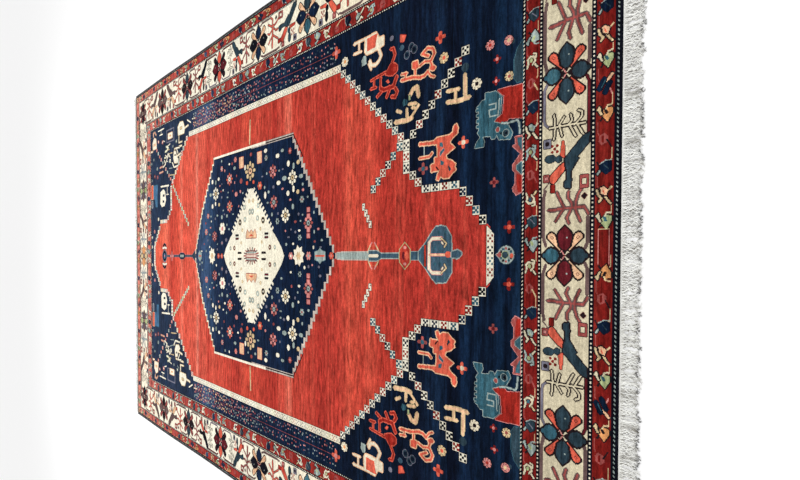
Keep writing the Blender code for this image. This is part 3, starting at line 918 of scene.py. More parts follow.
for k in range(12):
    a = 2 * math.pi * k / 12
    oval(near_strip, 0.3 + 2.4 * math.cos(a), 38.4 + 2.3 * math.sin(a), 0.5, 0.5,
         ("rose", "teal", "iron")[k % 3])
oval(near_strip, 0.3, 38.8, 1.3, 1.3, "slate", "leaf")
oval(near_strip, 0, 36.2, 0.9, 0.7, "coral")


# Dotted bands. Down both long sides of the field, outside the chains, lies a crowd of small dots,
# tied closer and paler towards the far end, on either side of a fine rose line.
scatter = random.Random(5)
for side in (1, -1):
    where = toward(place(0, 0), side)
    line(where, [(103.4, 136), (103.4, 300)], 0.4, "rose")
    for k in range(80):
        crowd = (98.4, 100.6, 105.8, 108.2) if k < 36 else (98.2, 100, 101.8, 104.8, 106.6, 108.4)
        for across_side in crowd:
            p, q = across_side + scatter.uniform(-0.8, 0.8), 134.5 + 2.1 * k + scatter.uniform(-0.8, 0.8)
            size = 0.42 + 0.003 * k
            last = "slate" if k < 50 else "peach"
            oval(where, p, q, size, size, scatter.choice(("ash", "mist", "rose", "pink", last)))


# Wool pile. Every knot of the chart stands up as a cut tuft, nine millimetres over the floor.
# Tufts of one dye that lie together are laid out as one patch; the outermost tufts lean over the
# rim. The pile is laid out in seven parts, so that no one mesh is too heavy.
SHOULDER = (0.0004, 0.0052, 0.0076, 0.0086, 0.0090)     # height of the pile, in knots from its rim
HALF_WIDTH = 1.525      # out to the outside of an edge cord, at the widest
DRAWN_IN = 0.0025       # half of what each side draws in, at most
RIM_ROOM = 0.0093       # from the outside of an edge cord to the outermost knots
PATCH = 40              # the most knots that one patch may be long or wide


def side_at(y):
    """Half the rug's width at y, over both cords; the sides draw in at three places."""
    return HALF_WIDTH - DRAWN_IN * (1 - np.cos(2 * np.pi * 3 * y / PILE_LENGTH))


def linear(red, green, blue):
    """A dye as it was matched, 0 to 255, as the shader's own colour."""
    shares = [c / 255 for c in (red, green, blue)]
    return [((c + 0.055) / 1.055) ** 2.4 if c > 0.04 else c / 12.92 for c in shares] + [1.0]


def knot_place(rows, cols):
    """Where the corners of knots lie; row and column 0 are the skirt below the rim."""
    row = np.clip(rows - 1, 0, ROWS)
    col = np.clip(cols - 1, 0, COLUMNS)
    y = row * KNOT - PILE_LENGTH / 2
    x = (col / COLUMNS * 2 - 1) * (side_at(y) - RIM_ROOM)
    deep = np.minimum(np.minimum(rows, ROWS + 2 - rows), np.minimum(cols, COLUMNS + 2 - cols))
    return np.stack([x, y, np.array(SHOULDER)[np.clip(deep, 0, 4)]], -1)


def patches(knots, row_part, col_part):
    """Rectangles of one dye that cover the knots: first and last row, first and last column, dye."""
    done, growing = [], {}
    for r, row in enumerate(knots):
        cuts = np.flatnonzero((row[1:] != row[:-1]) | (col_part[1:] != col_part[:-1])) + 1
        if r and row_part[r] != row_part[r - 1]:
            done += [(first, r, a, b, dye) for (a, b, dye), first in growing.items()]
            growing = {}
        now = {}
        for a, b in zip([0, *cuts.tolist()], [*cuts.tolist(), len(row)]):
            key = (a, b, int(row[a]))
            now[key] = growing.pop(key, r)
        done += [(first, r, a, b, dye) for (a, b, dye), first in growing.items()]
        growing = now
    return done + [(first, len(knots), a, b, dye) for (a, b, dye), first in growing.items()]


skirted = np.pad(chart, 1, mode="edge")
row_part = np.arange(ROWS + 2) // PATCH + 100
col_part = np.arange(COLUMNS + 2) // PATCH + 100
for part, count in ((row_part, ROWS), (col_part, COLUMNS)):      # the rim's knots are patches of their own
    part[:4] = range(4)
    part[count - 2:] = range(4, 8)


def row_at(v):
    return round(v / KNOT) + 1


def col_at(x):
    return round((x + PILE_WIDTH / 2) / KNOT) + 1


near_edge, far_edge = row_at(0.330), row_at(PILE_LENGTH - 0.382)     # about where the field begins
left_edge, right_edge = col_at(-1.104), col_at(1.104)
PARTS = (
    ("pile_border_near", 0, near_edge, 0, COLUMNS + 2),
    ("pile_border_far", far_edge, ROWS + 2, 0, COLUMNS + 2),
    ("pile_border_left", near_edge, far_edge, 0, left_edge),
    ("pile_border_right", near_edge, far_edge, right_edge, COLUMNS + 2),
    ("pile_field_near", near_edge, row_at(1.30), left_edge, right_edge),
    ("pile_field_middle", row_at(1.30), row_at(3.02), left_edge, right_edge),
    ("pile_field_far", row_at(3.02), far_edge, left_edge, right_edge),
)


# Dyed wool. It was spun and dyed by hand in small lots, so its colour drifts in long streaks along
# the rows of knots, and every knot and fibre differs a little from the next.
wool = bpy.data.node_groups.new("dyed wool", "ShaderNodeTree")
for name, kind, default in (
        ("Dye", "NodeSocketColor", (0.5, 0.1, 0.1, 1)),
        ("Pale lot", "NodeSocketColor", (0.6, 0.2, 0.15, 1)),
        ("Deep lot", "NodeSocketColor", (0.4, 0.05, 0.05, 1)),
        ("Streaks", "NodeSocketFloat", 0.5),
        ("Knot size", "NodeSocketFloat", KNOT)):
    wool.interface.new_socket(name, in_out="INPUT", socket_type=kind).default_value = default
wool.interface.new_socket("Colour", in_out="OUTPUT", socket_type="NodeSocketColor")
wool.interface.new_socket("Height", in_out="OUTPUT", socket_type="NodeSocketFloat")


def node(tree, kind, links=(), **values):
    """A shader node with its values set and its sockets linked."""
    made = tree.nodes.new(kind)
    for name, value in values.items():
        setattr(made, name, value)
    for socket, source in dict(links).items():
        if isinstance(source, bpy.types.NodeSocket):
            tree.links.new(source, made.inputs[socket])
        else:
            made.inputs[socket].default_value = source
    return made


def arithmetic(tree, operation, a, b=0.0, c=0.0, clamp=False):
    return node(tree, "ShaderNodeMath", {0: a, 1: b, 2: c}, operation=operation, use_clamp=clamp).outputs[0]


inside = node(wool, "NodeGroupInput").outputs
spot = node(wool, "ShaderNodeTexCoord").outputs["Object"]


def grain(tree, spot, stretch, detail, rough=0.5):
    """Noise whose grain is stretched along the rug's own axes."""
    stretched = node(tree, "ShaderNodeVectorMath", {0: spot, 1: stretch}, operation="MULTIPLY").outputs[0]
    sockets = {"Vector": stretched, "Scale": 1.0, "Detail": detail, "Roughness": rough}
    return node(tree, "ShaderNodeTexNoise", sockets).outputs["Fac"]


long_lots = grain(wool, spot, (0.30, 11.0, 0.0), 3.0, 0.6)      # lots of yarn, right across the rug
short_lots = grain(wool, spot, (1.6, 85.0, 0.0), 2.0)           # a skein, two or three rows deep
fibres = grain(wool, spot, (1500.0, 1100.0, 700.0), 2.0, 0.6)   # single fibres
wear_and_brushed_shade = grain(wool, spot, (5.0, 8.0, 0.0), 4.0, 0.6)             # broad places, more or less worn, and painted shade where the pile was brushed another way
spun = grain(wool, spot, (11.0, 62.0, 0.0), 3.0, 0.7)           # yarn spun thick and thin
leaning_tuft_light = grain(wool, spot, (70.0, 110.0, 0.0), 2.0, 0.7)       # painted light and shade of tufts that lean their own way
per_knot = arithmetic(wool, "DIVIDE", 1.0, inside["Knot size"])
cells = node(wool, "ShaderNodeVectorMath", {0: spot, 3: per_knot}, operation="SCALE").outputs[0]
cell = node(wool, "ShaderNodeVectorMath", {0: cells}, operation="FLOOR").outputs[0]
cell = node(wool, "ShaderNodeVectorMath", {0: cell, 1: (1.0, 1.0, 0.0)}, operation="MULTIPLY").outputs[0]
knot_luck = node(wool, "ShaderNodeTexWhiteNoise", {"Vector": cell}, noise_dimensions="3D").outputs["Value"]
in_cell = node(wool, "ShaderNodeVectorMath", {0: cells}, operation="FRACTION").outputs[0]
within = node(wool, "ShaderNodeSeparateXYZ", {0: in_cell}).outputs
across_tuft = arithmetic(wool, "SINE", arithmetic(wool, "MULTIPLY", within[0], math.pi))
along_tuft = arithmetic(wool, "SINE", arithmetic(wool, "MULTIPLY", within[1], math.pi))
tuft = arithmetic(wool, "MULTIPLY", across_tuft, along_tuft)

lot = arithmetic(wool, "MULTIPLY_ADD", arithmetic(wool, "SUBTRACT", short_lots, 0.5), 1.3, 0.0)
lot = arithmetic(wool, "MULTIPLY_ADD", arithmetic(wool, "SUBTRACT", long_lots, 0.5), 2.2, lot)
lot = arithmetic(wool, "MULTIPLY", lot, inside["Streaks"])
toward_pale = arithmetic(wool, "MAXIMUM", lot, 0.0, clamp=True)
toward_deep = arithmetic(wool, "MAXIMUM", arithmetic(wool, "MULTIPLY", lot, -1.0), 0.0, clamp=True)


def mixed(tree, share, a, b, blend="MIX"):
    made = node(tree, "ShaderNodeMix", {0: share, 6: a, 7: b}, data_type="RGBA", blend_type=blend)
    return made.outputs[2]


colour = mixed(wool, toward_pale, inside["Dye"], inside["Pale lot"])
colour = mixed(wool, toward_deep, colour, inside["Deep lot"])
light = arithmetic(wool, "MULTIPLY_ADD", knot_luck, 0.26, 0.70)
light = arithmetic(wool, "MULTIPLY", light, arithmetic(wool, "MULTIPLY_ADD", fibres, 0.5, 0.75))
# broad wear, with painted shade of pile brushed another way
light = arithmetic(wool, "MULTIPLY", light, arithmetic(wool, "MULTIPLY_ADD", wear_and_brushed_shade, 0.70, 0.65))
thick_and_thin = arithmetic(wool, "MULTIPLY", arithmetic(wool, "SUBTRACT", spun, 0.5), inside["Streaks"])
light = arithmetic(wool, "MULTIPLY", light, arithmetic(wool, "MULTIPLY_ADD", thick_and_thin, 4.2, 1.01))
# painted light and shade: tufts that lean their own way
light = arithmetic(wool, "MULTIPLY", light, arithmetic(wool, "MULTIPLY_ADD", leaning_tuft_light, 1.1, 0.46))
# painted shade: each knot darker towards its edges, where it meets the next
light = arithmetic(wool, "MULTIPLY", light, arithmetic(wool, "MULTIPLY_ADD", tuft, 0.16, 0.90))
lit = node(wool, "ShaderNodeVectorMath", {0: colour, 3: light}, operation="SCALE").outputs[0]
height = arithmetic(wool, "MULTIPLY", knot_luck, 0.25)
height = arithmetic(wool, "MULTIPLY_ADD", fibres, 0.7, height)
height = arithmetic(wool, "MULTIPLY_ADD", tuft, 0.45, height)
node(wool, "NodeGroupOutput", {"Colour": lit, "Height": height})

DYE_LOTS = {        # matched: the dye, its paler and its deeper lot, how much it streaks
    "night": ((14, 16, 26), (26, 30, 44), (8, 9, 16), 0.7),
    "navy": ((14, 32, 56), (26, 52, 82), (7, 14, 30), 0.8),
    "blue": ((64, 90, 106), (94, 120, 134), (42, 64, 84), 0.7),
    "teal": ((52, 92, 106), (88, 126, 132), (32, 66, 82), 0.8),
    "mist": ((158, 172, 166), (190, 200, 190), (124, 142, 142), 0.6),
    "ivory": ((236, 224, 196), (244, 236, 214), (218, 202, 168), 0.2),
    "straw": ((216, 190, 146), (232, 210, 172), (188, 156, 112), 0.6),
    "peach": ((238, 190, 150), (246, 208, 174), (222, 162, 122), 0.5),
    "pink": ((216, 140, 134), (232, 168, 160), (192, 108, 106), 0.6),
    "coral": ((220, 98, 76), (234, 128, 102), (194, 72, 58), 0.6),
    "madder": ((190, 66, 52), (218, 96, 76), (158, 44, 38), 0.75),
    "brick": ((136, 40, 36), (162, 60, 50), (104, 26, 28), 0.7),
    "maroon": ((96, 28, 36), (124, 44, 50), (70, 18, 26), 0.6),
    "iron": ((34, 24, 28), (54, 42, 44), (20, 14, 18), 0.6),
    "cotton": ((198, 184, 172), (216, 204, 192), (164, 150, 142), 0.5),
    "ash": ((122, 120, 134), (142, 140, 150), (96, 94, 110), 0.5),
    "slate": ((44, 62, 72), (58, 80, 92), (28, 42, 52), 0.8),
    "rose": ((158, 78, 74), (180, 100, 92), (130, 58, 58), 0.6),
    "amber": ((222, 154, 98), (236, 178, 126), (198, 128, 78), 0.5),
    "leaf": ((166, 176, 128), (188, 198, 156), (138, 148, 98), 0.5),
    "crimson": ((158, 40, 32), (184, 60, 48), (128, 28, 26), 0.6),
    "chalk": ((228, 220, 196), (240, 234, 214), (206, 194, 168), 0.2),
    "umber": ((104, 82, 80), (128, 104, 98), (80, 60, 60), 0.5),
}


def spun_wool(name, plain, pale, deep, streaks, strength, distance, roughness):
    """A wool of three lots; strength and distance say how far its knots and fibres stand up."""
    material = bpy.data.materials.new(name)
    material.use_nodes = True
    tree = material.node_tree
    shader = tree.nodes["Principled BSDF"]
    yarn = node(tree, "ShaderNodeGroup", {"Dye": linear(*plain), "Pale lot": linear(*pale),
                                          "Deep lot": linear(*deep), "Streaks": streaks}, node_tree=wool)
    tree.links.new(yarn.outputs["Colour"], shader.inputs["Base Color"])
    raised = node(tree, "ShaderNodeBump", {"Height": yarn.outputs["Height"], "Strength": strength,
                                           "Distance": distance})
    tree.links.new(raised.outputs["Normal"], shader.inputs["Normal"])
    shader.inputs["Roughness"].default_value = roughness
    return material


wool_of = {}
for dye, (plain, pale, deep, streaks) in DYE_LOTS.items():
    wool_of[dye] = spun_wool(dye + "_wool", plain, pale, deep, streaks, 0.5, 0.0011, 0.85)
    shader = wool_of[dye].node_tree.nodes["Principled BSDF"]
    shader.inputs["Specular IOR Level"].default_value = 0.03


def lots_and_painted_far_light(dye, bands):
    """Gives a dye the lots that show as bands across the field, and painted light that pales it towards the
    far end: how far from the near end, colour.
    """
    tree = wool_of[dye].node_tree
    yarn = next(n for n in tree.nodes if n.type == "GROUP")
    spot = node(tree, "ShaderNodeTexCoord").outputs["Object"]
    waver = grain(tree, spot, (1.3, 5.0, 0.0), 2.0)
    y = node(tree, "ShaderNodeSeparateXYZ", {0: spot}).outputs[1]
    y = arithmetic(tree, "MULTIPLY_ADD", waver, 0.016, y)
    share = arithmetic(tree, "DIVIDE", arithmetic(tree, "ADD", y, PILE_LENGTH / 2 - 0.008), PILE_LENGTH)
    ramp = node(tree, "ShaderNodeValToRGB", {0: share})
    stops = ramp.color_ramp.elements
    for v, red, green, blue in bands[2:]:
        stops.new(v / PILE_LENGTH)
    for stop, (v, red, green, blue) in zip(stops, sorted(bands)):
        stop.position = v / PILE_LENGTH
        stop.color = linear(red, green, blue)
    tree.links.new(ramp.outputs["Color"], yarn.inputs["Dye"])


# Every ramp below grows paler towards the far end: that rise is painted light, the far end lit more
# brightly and its pile catching the light. The narrow bands along the way are lots of dye.
lots_and_painted_far_light("ivory", (
    (0.0, 218, 206, 175), (0.30, 218, 206, 175), (0.42, 232, 220, 192), (1.20, 240, 228, 200),
    (1.80, 252, 244, 220), (2.60, 254, 247, 226), (3.90, 254, 244, 220), (4.20, 252, 238, 214),
))
lots_and_painted_far_light("brick", (
    (0.0, 116, 26, 22), (0.34, 126, 30, 26), (1.60, 150, 42, 36), (2.90, 176, 64, 56),
    (3.60, 194, 88, 78), (3.90, 212, 118, 106), (4.24, 222, 136, 120),
))
lots_and_painted_far_light("madder", (
    (0.0, 180, 58, 50), (0.90, 176, 54, 44), (1.02, 186, 60, 48), (1.10, 208, 80, 62),
    (1.14, 192, 66, 52), (1.21, 202, 74, 57), (1.24, 212, 86, 66), (1.29, 188, 62, 50),
    (1.45, 178, 56, 46), (1.62, 190, 62, 50), (1.72, 198, 70, 55), (1.74, 224, 112, 92),
    (1.79, 218, 98, 78), (1.81, 188, 60, 50), (1.85, 206, 80, 64), (1.88, 176, 54, 44),
    (2.26, 206, 78, 60), (2.35, 182, 58, 48), (2.48, 202, 72, 57), (2.70, 216, 88, 70),
    (2.77, 190, 64, 52), (2.82, 216, 88, 70), (2.93, 218, 92, 74), (2.95, 240, 144, 122),
    (2.98, 220, 94, 75), (3.20, 226, 90, 70), (3.23, 244, 124, 102), (3.28, 222, 86, 66),
    (3.44, 198, 68, 54), (3.56, 240, 116, 90), (3.68, 226, 96, 72), (3.82, 232, 102, 78),
))
lots_and_painted_far_light("navy", (
    (0.0, 9, 22, 42), (0.33, 22, 44, 68), (0.355, 14, 28, 48), (0.38, 7, 15, 32), (0.412, 20, 44, 72),
    (0.43, 9, 20, 38), (0.485, 9, 20, 38), (0.505, 16, 34, 58), (0.522, 6, 14, 30), (0.56, 19, 40, 68),
    (0.59, 9, 17, 34), (0.64, 8, 15, 32), (0.695, 22, 42, 68), (0.725, 13, 24, 44), (0.90, 9, 18, 36),
    (1.06, 13, 30, 52), (1.12, 8, 17, 34), (1.50, 12, 28, 52), (1.74, 10, 26, 50), (1.90, 20, 36, 64),
    (2.12, 20, 36, 60), (2.35, 18, 32, 58), (2.62, 26, 42, 70), (2.72, 44, 66, 96),
    (2.80, 62, 88, 124), (2.90, 58, 78, 110), (3.02, 44, 58, 84), (3.22, 32, 44, 64),
    (3.44, 46, 58, 82), (3.52, 36, 48, 70), (3.82, 42, 56, 80),
))
lots_and_painted_far_light("blue", ((0.0, 64, 90, 106), (2.8, 64, 90, 106), (3.5, 74, 116, 152)))
lots_and_painted_far_light("chalk", ((0.0, 226, 218, 194), (0.6, 232, 226, 204), (1.2, 242, 236, 216), (2.2, 254, 248, 230)))

for name, row0, row1, col0, col1 in PARTS:
    found = patches(skirted[row0:row1, col0:col1], row_part[row0:row1], col_part[col0:col1])
    found = np.array(found)
    rows, cols = found[:, (0, 0, 1, 1)] + row0, found[:, (2, 3, 3, 2)] + col0
    stride = COLUMNS + 3        # one number for each corner: its row and column together
    keys, faces = np.unique((rows * stride + cols).ravel(), return_inverse=True)
    corner_rows, corner_cols = keys // stride, keys % stride
    mesh = bpy.data.meshes.new(name)
    mesh.from_pydata(knot_place(corner_rows, corner_cols).tolist(), [], faces.reshape(-1, 4).tolist())
    used = sorted(set(found[:, 4].tolist()))
    for dye in used:
        mesh.materials.append(wool_of[DYES[dye]])
    mesh.polygons.foreach_set("material_index", [used.index(dye) for dye in found[:, 4].tolist()])
    flat_map = mesh.uv_layers.new(name="OFBake")        # seen from above, spread over the whole square
    seen = np.stack([(cols.ravel() - col0) / (col1 - col0), (rows.ravel() - row0) / (row1 - row0)], -1)
    flat_map.data.foreach_set("uv", seen.astype(np.float32).ravel())
    mesh.update()
    piece = bpy.data.objects.new(name, mesh)
    bpy.context.scene.collection.objects.link(piece)
    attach(piece, "root")


# Foundation. Cotton warps and wefts bind the knots from below; on the back every knot shows as a
# small bead. It is one closed cloth, a little inside the pile's rim, lying on the floor.
BACK_INSET = 0.0006         # inside the pile's rim, at each end and each side
BACK_HEIGHT = 0.0003        # over the floor
BACK_THICKNESS = 0.0045
bpy.ops.object.select_all(action="DESELECT")
bpy.ops.mesh.primitive_grid_add(x_subdivisions=24, y_subdivisions=72, size=1)
foundation = bpy.context.object
foundation.name = foundation.data.name = "foundation"
for vert in foundation.data.vertices:
    y = vert.co.y * (PILE_LENGTH - 2 * BACK_INSET)
    vert.co = (2 * vert.co.x * (side_at(y) - RIM_ROOM - BACK_INSET), y, BACK_HEIGHT)
bpy.ops.object.mode_set(mode="EDIT")
bpy.ops.mesh.select_all(action="SELECT")
bpy.ops.mesh.extrude_region_move(TRANSFORM_OT_translate={"value": (0, 0, BACK_THICKNESS)})
bpy.ops.mesh.select_all(action="SELECT")
bpy.ops.mesh.normals_make_consistent(inside=False)
bpy.ops.object.mode_set(mode="OBJECT")

backing = spun_wool("knotted_back", (150, 62, 52), (196, 168, 136), (40, 44, 62), 1.0, 0.6, 0.001, 0.9)
foundation.data.materials.append(backing)
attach(foundation, "root")
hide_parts("pile_sheet")


# Edge cords. Down each long side a bundle of warps is overcast with dark wool, turn beside turn,
# which leaves a slanting ridge every three millimetres.
CORD_RADIUS = 0.0045
CORD_SIDES = 8
TURN_PITCH = 0.0032
wrapping = spun_wool("overcast_wool", (58, 46, 50), (92, 78, 76), (30, 26, 36), 1.0, 0.4, 0.0006, 0.8)
shader = wrapping.node_tree.nodes["Principled BSDF"]
shader.inputs["Sheen Weight"].default_value = 0.2
for name, side in (("cord_left", -1), ("cord_right", 1)):
    rings = round(PILE_LENGTH / TURN_PITCH * 3)
    y = np.linspace(-PILE_LENGTH / 2, PILE_LENGTH / 2, rings + 1)
    middle = side * (side_at(y) - CORD_RADIUS)
    around = np.arange(CORD_SIDES) * 2 * np.pi / CORD_SIDES + np.pi / CORD_SIDES
    ridge = 0.93 + 0.07 * np.cos(2 * np.pi * y[:, None] / TURN_PITCH - around[None, :])
    points = np.stack([middle[:, None] + CORD_RADIUS * ridge * np.cos(around),
                       np.repeat(y[:, None], CORD_SIDES, 1),
                       CORD_RADIUS * (1 + ridge * np.sin(around))], -1)
    here = np.arange(rings)[:, None] * CORD_SIDES
    there = here + CORD_SIDES
    k = np.arange(CORD_SIDES)[None, :]
    after = (k + 1) % CORD_SIDES
    faces = np.stack([there + k, there + after, here + after, here + k], -1).reshape(-1, 4).tolist()
    faces.append(list(range(CORD_SIDES)))
    faces.append([rings * CORD_SIDES + i for i in reversed(range(CORD_SIDES))])
    mesh = bpy.data.meshes.new(name)
    mesh.from_pydata(points.reshape(-1, 3).tolist(), [], faces)
    mesh.materials.append(wrapping)
    mesh.shade_smooth()
    cord = bpy.data.objects.new(name, mesh)
    bpy.context.scene.collection.objects.link(cord)
    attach(cord, "root")
    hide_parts("edge_" + name)


# Cotton ends. Past the last row of knots the weaver wove a few picks of plain cotton, and beyond
# them the warps hang free as a fringe of twisted, crimped strands that lie level on the floor.
WEB_DEPTH = 0.012
WEB_GAP = 0.0006        # between the last row of knots and the web
PICKS = 6
WEB_STATIONS = 61       # cross sections of the web along its width
STRANDS = 1080          # at each end, in two layers
STRANDS_A_LOCK = 6
STRAND_LENGTH = 0.061
STRAND_STEPS = 15
STRAND_SIDES = 5
STRAND_ROOT = 0.0062    # from the last row of knots, in the web
END_ROOM = 0.004        # from the outermost strands to the web's corners
GATHER = 0.0008         # how much a strand leans towards the middle of its lock, for each place away
LOCK_LEAN = 0.0045      # how far a whole lock leans, at most
cotton = bpy.data.materials.new("cotton_warp")
cotton.use_nodes = True
tree = cotton.node_tree
shader = tree.nodes["Principled BSDF"]
spot = node(tree, "ShaderNodeTexCoord").outputs["Object"]
soiled = grain(tree, spot, (22.0, 40.0, 0.0), 3.0, 0.6)
lint = grain(tree, spot, (900.0, 500.0, 900.0), 2.0)
# dirt from the strands' attribute and the soiled patches; on the lower strands the attribute also holds
# painted shade
dirt_and_shade = node(tree, "ShaderNodeAttribute", attribute_name="soil_and_shade").outputs["Fac"]
dirt_and_shade = arithmetic(tree, "MULTIPLY_ADD", dirt_and_shade, 0.8, arithmetic(tree, "MULTIPLY_ADD", soiled, -0.9, 0.5),
                  clamp=True)
shade = mixed(tree, dirt_and_shade, linear(253, 253, 248), linear(112, 104, 88))
tip = node(tree, "ShaderNodeAttribute", attribute_name="tip").outputs["Fac"]
shade = mixed(tree, tip, shade, linear(20, 17, 14))
shade = node(tree, "ShaderNodeVectorMath", {0: shade, 3: arithmetic(tree, "MULTIPLY_ADD", lint, 0.3, 0.82)},
             operation="SCALE").outputs[0]
tree.links.new(shade, shader.inputs["Base Color"])
raised = node(tree, "ShaderNodeBump", {"Height": lint, "Strength": 0.4, "Distance": 0.0005})
tree.links.new(raised.outputs["Normal"], shader.inputs["Normal"])
shader.inputs["Roughness"].default_value = 0.85
shader.inputs["Sheen Weight"].default_value = 0.3

for name, end, seed in (("cotton_near", -1, 3), ("cotton_far", 1, 8)):
    luck = random.Random(seed)
    half = side_at(PILE_LENGTH / 2) - RIM_ROOM - 0.0001
    points, faces = [], []

    # the web: six picks of weft, each a low ridge across the rug
    profile = [(WEB_GAP, 0.0002)]
    for i in range(PICKS):
        start = WEB_GAP + (WEB_DEPTH - WEB_GAP) * i / PICKS
        pitch = (WEB_DEPTH - WEB_GAP) / PICKS
        profile += [(start, 0.0022), (start + pitch * 0.3, 0.0030), (start + pitch * 0.7, 0.0030)]
    profile += [(WEB_DEPTH, 0.0022), (WEB_DEPTH, 0.0002)]
    for i in range(WEB_STATIONS):
        x = -half + 2 * half * i / (WEB_STATIONS - 1)
        for out, z in profile:
            points.append((x, end * (PILE_LENGTH / 2 + out), z))
    width = len(profile)
    for i in range(WEB_STATIONS - 1):
        for k in range(width):
            m = (k + 1) % width
            quad = (i * width + k, i * width + m, (i + 1) * width + m, (i + 1) * width + k)
            faces.append(quad if end < 0 else quad[::-1])
    cap = list(range(width))[::end]
    faces += [cap, [(WEB_STATIONS - 1) * width + k for k in cap[::-1]]]

    # the strands: neighbours lean together into loose locks, part again at their tips, and curl;
    # the ones below are painted darker, as shade under the upper ones, and are the more soiled
    soil_and_shade, tip = [0.1] * len(points), [0.0] * len(points)    # each point's dirt, with painted shade on the lower strands, and how dark its tip is
    lean = [luck.uniform(-1, 1) for _ in range(STRANDS // STRANDS_A_LOCK + 2)]
    drawn = [luck.uniform(0.88, 1.05) for _ in lean]
    stain = [luck.random() < 0.07 for _ in lean]            # locks that are dirty all along
    dark_tipped = [luck.random() < 0.34 for _ in lean]          # locks whose tips are dark
    for i in range(STRANDS):
        upper = i % 3 != 0
        along_end = 2 * (half - END_ROOM) * (i + 0.5) / STRANDS
        root = -half + END_ROOM + along_end + luck.uniform(-0.0012, 0.0012)
        lock, along_lock = divmod(i, STRANDS_A_LOCK)
        pull = ((STRANDS_A_LOCK - 1) / 2 - along_lock) * GATHER + lean[lock] * LOCK_LEAN
        pull += luck.uniform(-0.0042, 0.0042)
        reach = STRAND_LENGTH * drawn[lock] * luck.uniform(0.84, 1.03)
        crimp = luck.uniform(0.0006, 0.0050)
        turns = luck.uniform(1.2, 3.6)
        phase = luck.uniform(0, 6.3)
        kink, kinks, kink_phase = luck.uniform(0.0006, 0.0030), luck.uniform(2.4, 5.2), luck.uniform(0, 6.3)
        curl_back = luck.uniform(-0.014, 0.014) * (0.2 if dark_tipped[lock] else 1.0)
        stack = luck.uniform(0.0026, 0.0052) if upper else 0.0004
        thick = luck.uniform(0.0011, 0.0016)
        # the lower strands are painted darker: shade under the upper layer, as well as dirt
        dirt_and_shade = luck.choice((0.0, 0.0, 0.05, 0.3)) if upper else luck.uniform(0.4, 1.0)
        if stain[lock] or luck.random() < 0.05:
            dirt_and_shade = luck.uniform(0.5, 1.0)
        if dark_tipped[lock] and luck.random() < 0.8:
            dark_tip = luck.uniform(0.8, 1.0)
        else:
            dark_tip = luck.choice((0.0, 0.0, 0.0, 0.7))
        base = len(points)
        for step in range(STRAND_STEPS + 1):
            t = step / STRAND_STEPS
            free = min(1, 3 * t)
            x = (root + pull * math.sin(math.pi * min(1.0, t * 1.1))
                 + crimp * math.sin(2 * math.pi * turns * t + phase) * free
                 + kink * math.sin(2 * math.pi * kinks * t + kink_phase) * free
                 + curl_back * max(0, t - 0.6) ** 2 * 6)
            y = PILE_LENGTH / 2 + STRAND_ROOT + reach * t * (1 - 0.35 * max(0, t - 0.75))
            lift = 0.0030 * max(0.0, 1 - 5 * t) + stack * math.sin(math.pi * min(1, 0.15 + t * 0.95))
            z = thick + max(0.0001, lift + 0.0006 * math.sin(11 * t + phase))
            fray = 1.0 if t < 0.88 or dark_tipped[lock] else 1.0 - 0.45 * (t - 0.88) / 0.12
            for k in range(STRAND_SIDES):
                a = 2 * math.pi * k / STRAND_SIDES
                r = thick * fray * (1 + 0.2 * math.cos(2 * (a - 6.0 * math.pi * t)))
                points.append((x + r * math.cos(a), end * y, z + r * math.sin(a) * 0.9))
                soil_and_shade.append(dirt_and_shade * (0.55 + 0.45 * t) if upper else dirt_and_shade)
                tip.append(dark_tip * min(1.0, max(0.0, (t - 0.76) / 0.14)))
        for step in range(STRAND_STEPS):
            for k in range(STRAND_SIDES):
                m = (k + 1) % STRAND_SIDES
                a, b = base + step * STRAND_SIDES, base + (step + 1) * STRAND_SIDES
                quad = (a + k, a + m, b + m, b + k)
                faces.append(quad if end < 0 else quad[::-1])
        cap = list(range(base, base + STRAND_SIDES))[::end]
        faces += [cap, [STRAND_STEPS * STRAND_SIDES + k for k in cap[::-1]]]

    mesh = bpy.data.meshes.new(name)
    mesh.from_pydata(points, [], faces)
    mesh.materials.append(cotton)
    mesh.shade_smooth()
    mesh.attributes.new("soil_and_shade", "FLOAT", "POINT").data.foreach_set("value", soil_and_shade)
    mesh.attributes.new("tip", "FLOAT", "POINT").data.foreach_set("value", tip)
    flat_map = mesh.uv_layers.new(name="OFBake")        # seen from above, spread over the whole square
    seen = np.array([points[loop.vertex_index] for loop in mesh.loops])
    seen = np.stack([seen[:, 0] / 3.1 + 0.5, (np.abs(seen[:, 1]) - PILE_LENGTH / 2) / 0.08 + 0.1], -1)
    flat_map.data.foreach_set("uv", seen.astype(np.float32).ravel())
    ends = bpy.data.objects.new(name, mesh)
    bpy.context.scene.collection.objects.link(ends)
    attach(ends, "root")
    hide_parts("cotton_end_" + name.split("_")[1])


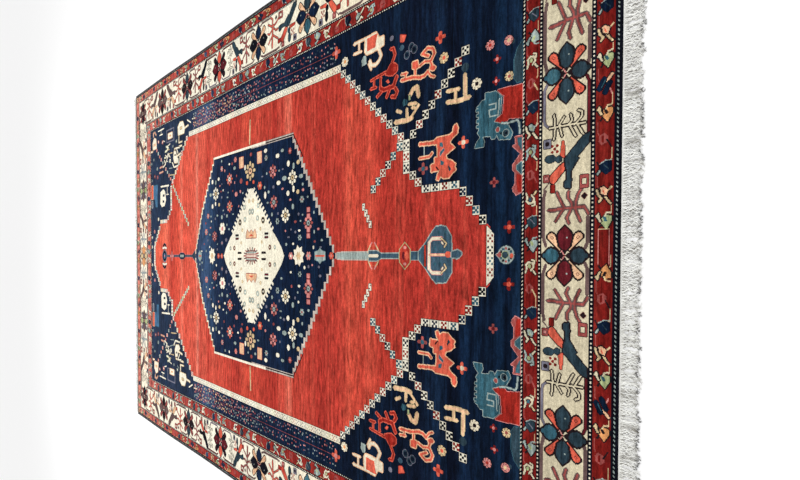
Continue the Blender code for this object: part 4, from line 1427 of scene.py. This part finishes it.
# Studio floor and light. The rug lies on a pale plain floor, under soft light from all round and
# two softboxes high up, the stronger one over the far end.
bpy.ops.object.select_all(action="DESELECT")
bpy.ops.mesh.primitive_plane_add(size=90, location=(0, 12, -0.0005))
floor = bpy.context.object
floor.name = "floor"
paint = bpy.data.materials.new("floor_paint")
paint.use_nodes = True
shader = paint.node_tree.nodes["Principled BSDF"]
shader.inputs["Base Color"].default_value = (0.93, 0.93, 0.93, 1)
shader.inputs["Roughness"].default_value = 0.9
floor.data.materials.append(paint)

world = bpy.data.worlds.new("studio")
world.use_nodes = True
world.node_tree.nodes["Background"].inputs["Color"].default_value = (1.0, 1.0, 1.0, 1)
world.node_tree.nodes["Background"].inputs["Strength"].default_value = 0.98
bpy.context.scene.world = world
for name, place_at, turn, size, power in (
        ("softbox_far", (-0.5, 3.6, 3.4), (-35, 0, 0), 3.5, 80),
        ("softbox_near", (2.2, -2.2, 3.2), (25, 30, 0), 2.5, 20)):
    lamp = bpy.data.lights.new(name, "AREA")
    lamp.size = size
    lamp.energy = power
    holder = bpy.data.objects.new(name, lamp)
    holder.location = place_at
    holder.rotation_euler = [math.radians(a) for a in turn]
    bpy.context.scene.collection.objects.link(holder)

# Camera. It stands just past the near end, turned on its side, and looks down along the rug, so
# that the far end lies at the left. Its place and angles follow from the rug's own lines.
yaw, pitch, roll = math.radians(-1.4383), math.radians(48.4201), math.radians(0.8562)
ahead = Vector((math.sin(yaw) * math.cos(pitch), math.cos(yaw) * math.cos(pitch), -math.sin(pitch)))
right = Vector((math.cos(yaw), -math.sin(yaw), 0))
down = ahead.cross(right)
image_up = math.cos(roll) * right + math.sin(roll) * down
image_right = -math.sin(roll) * right + math.cos(roll) * down
camera = bpy.data.objects.new("camera", bpy.data.cameras.new("camera"))
camera.data.lens = 19.594
camera.data.sensor_width = 36
camera.data.clip_end = 200
camera.data.shift_y = 0.0316        # the picture is cut a little off its middle
camera.matrix_world = Matrix((
    (image_right.x, image_up.x, -ahead.x, -0.0100),
    (image_right.y, image_up.y, -ahead.y, -2.5172),
    (image_right.z, image_up.z, -ahead.z, 1.4564),
    (0, 0, 0, 1),
))
bpy.context.scene.collection.objects.link(camera)
bpy.context.scene.camera = camera
bpy.context.scene.view_settings.view_transform = "Standard"
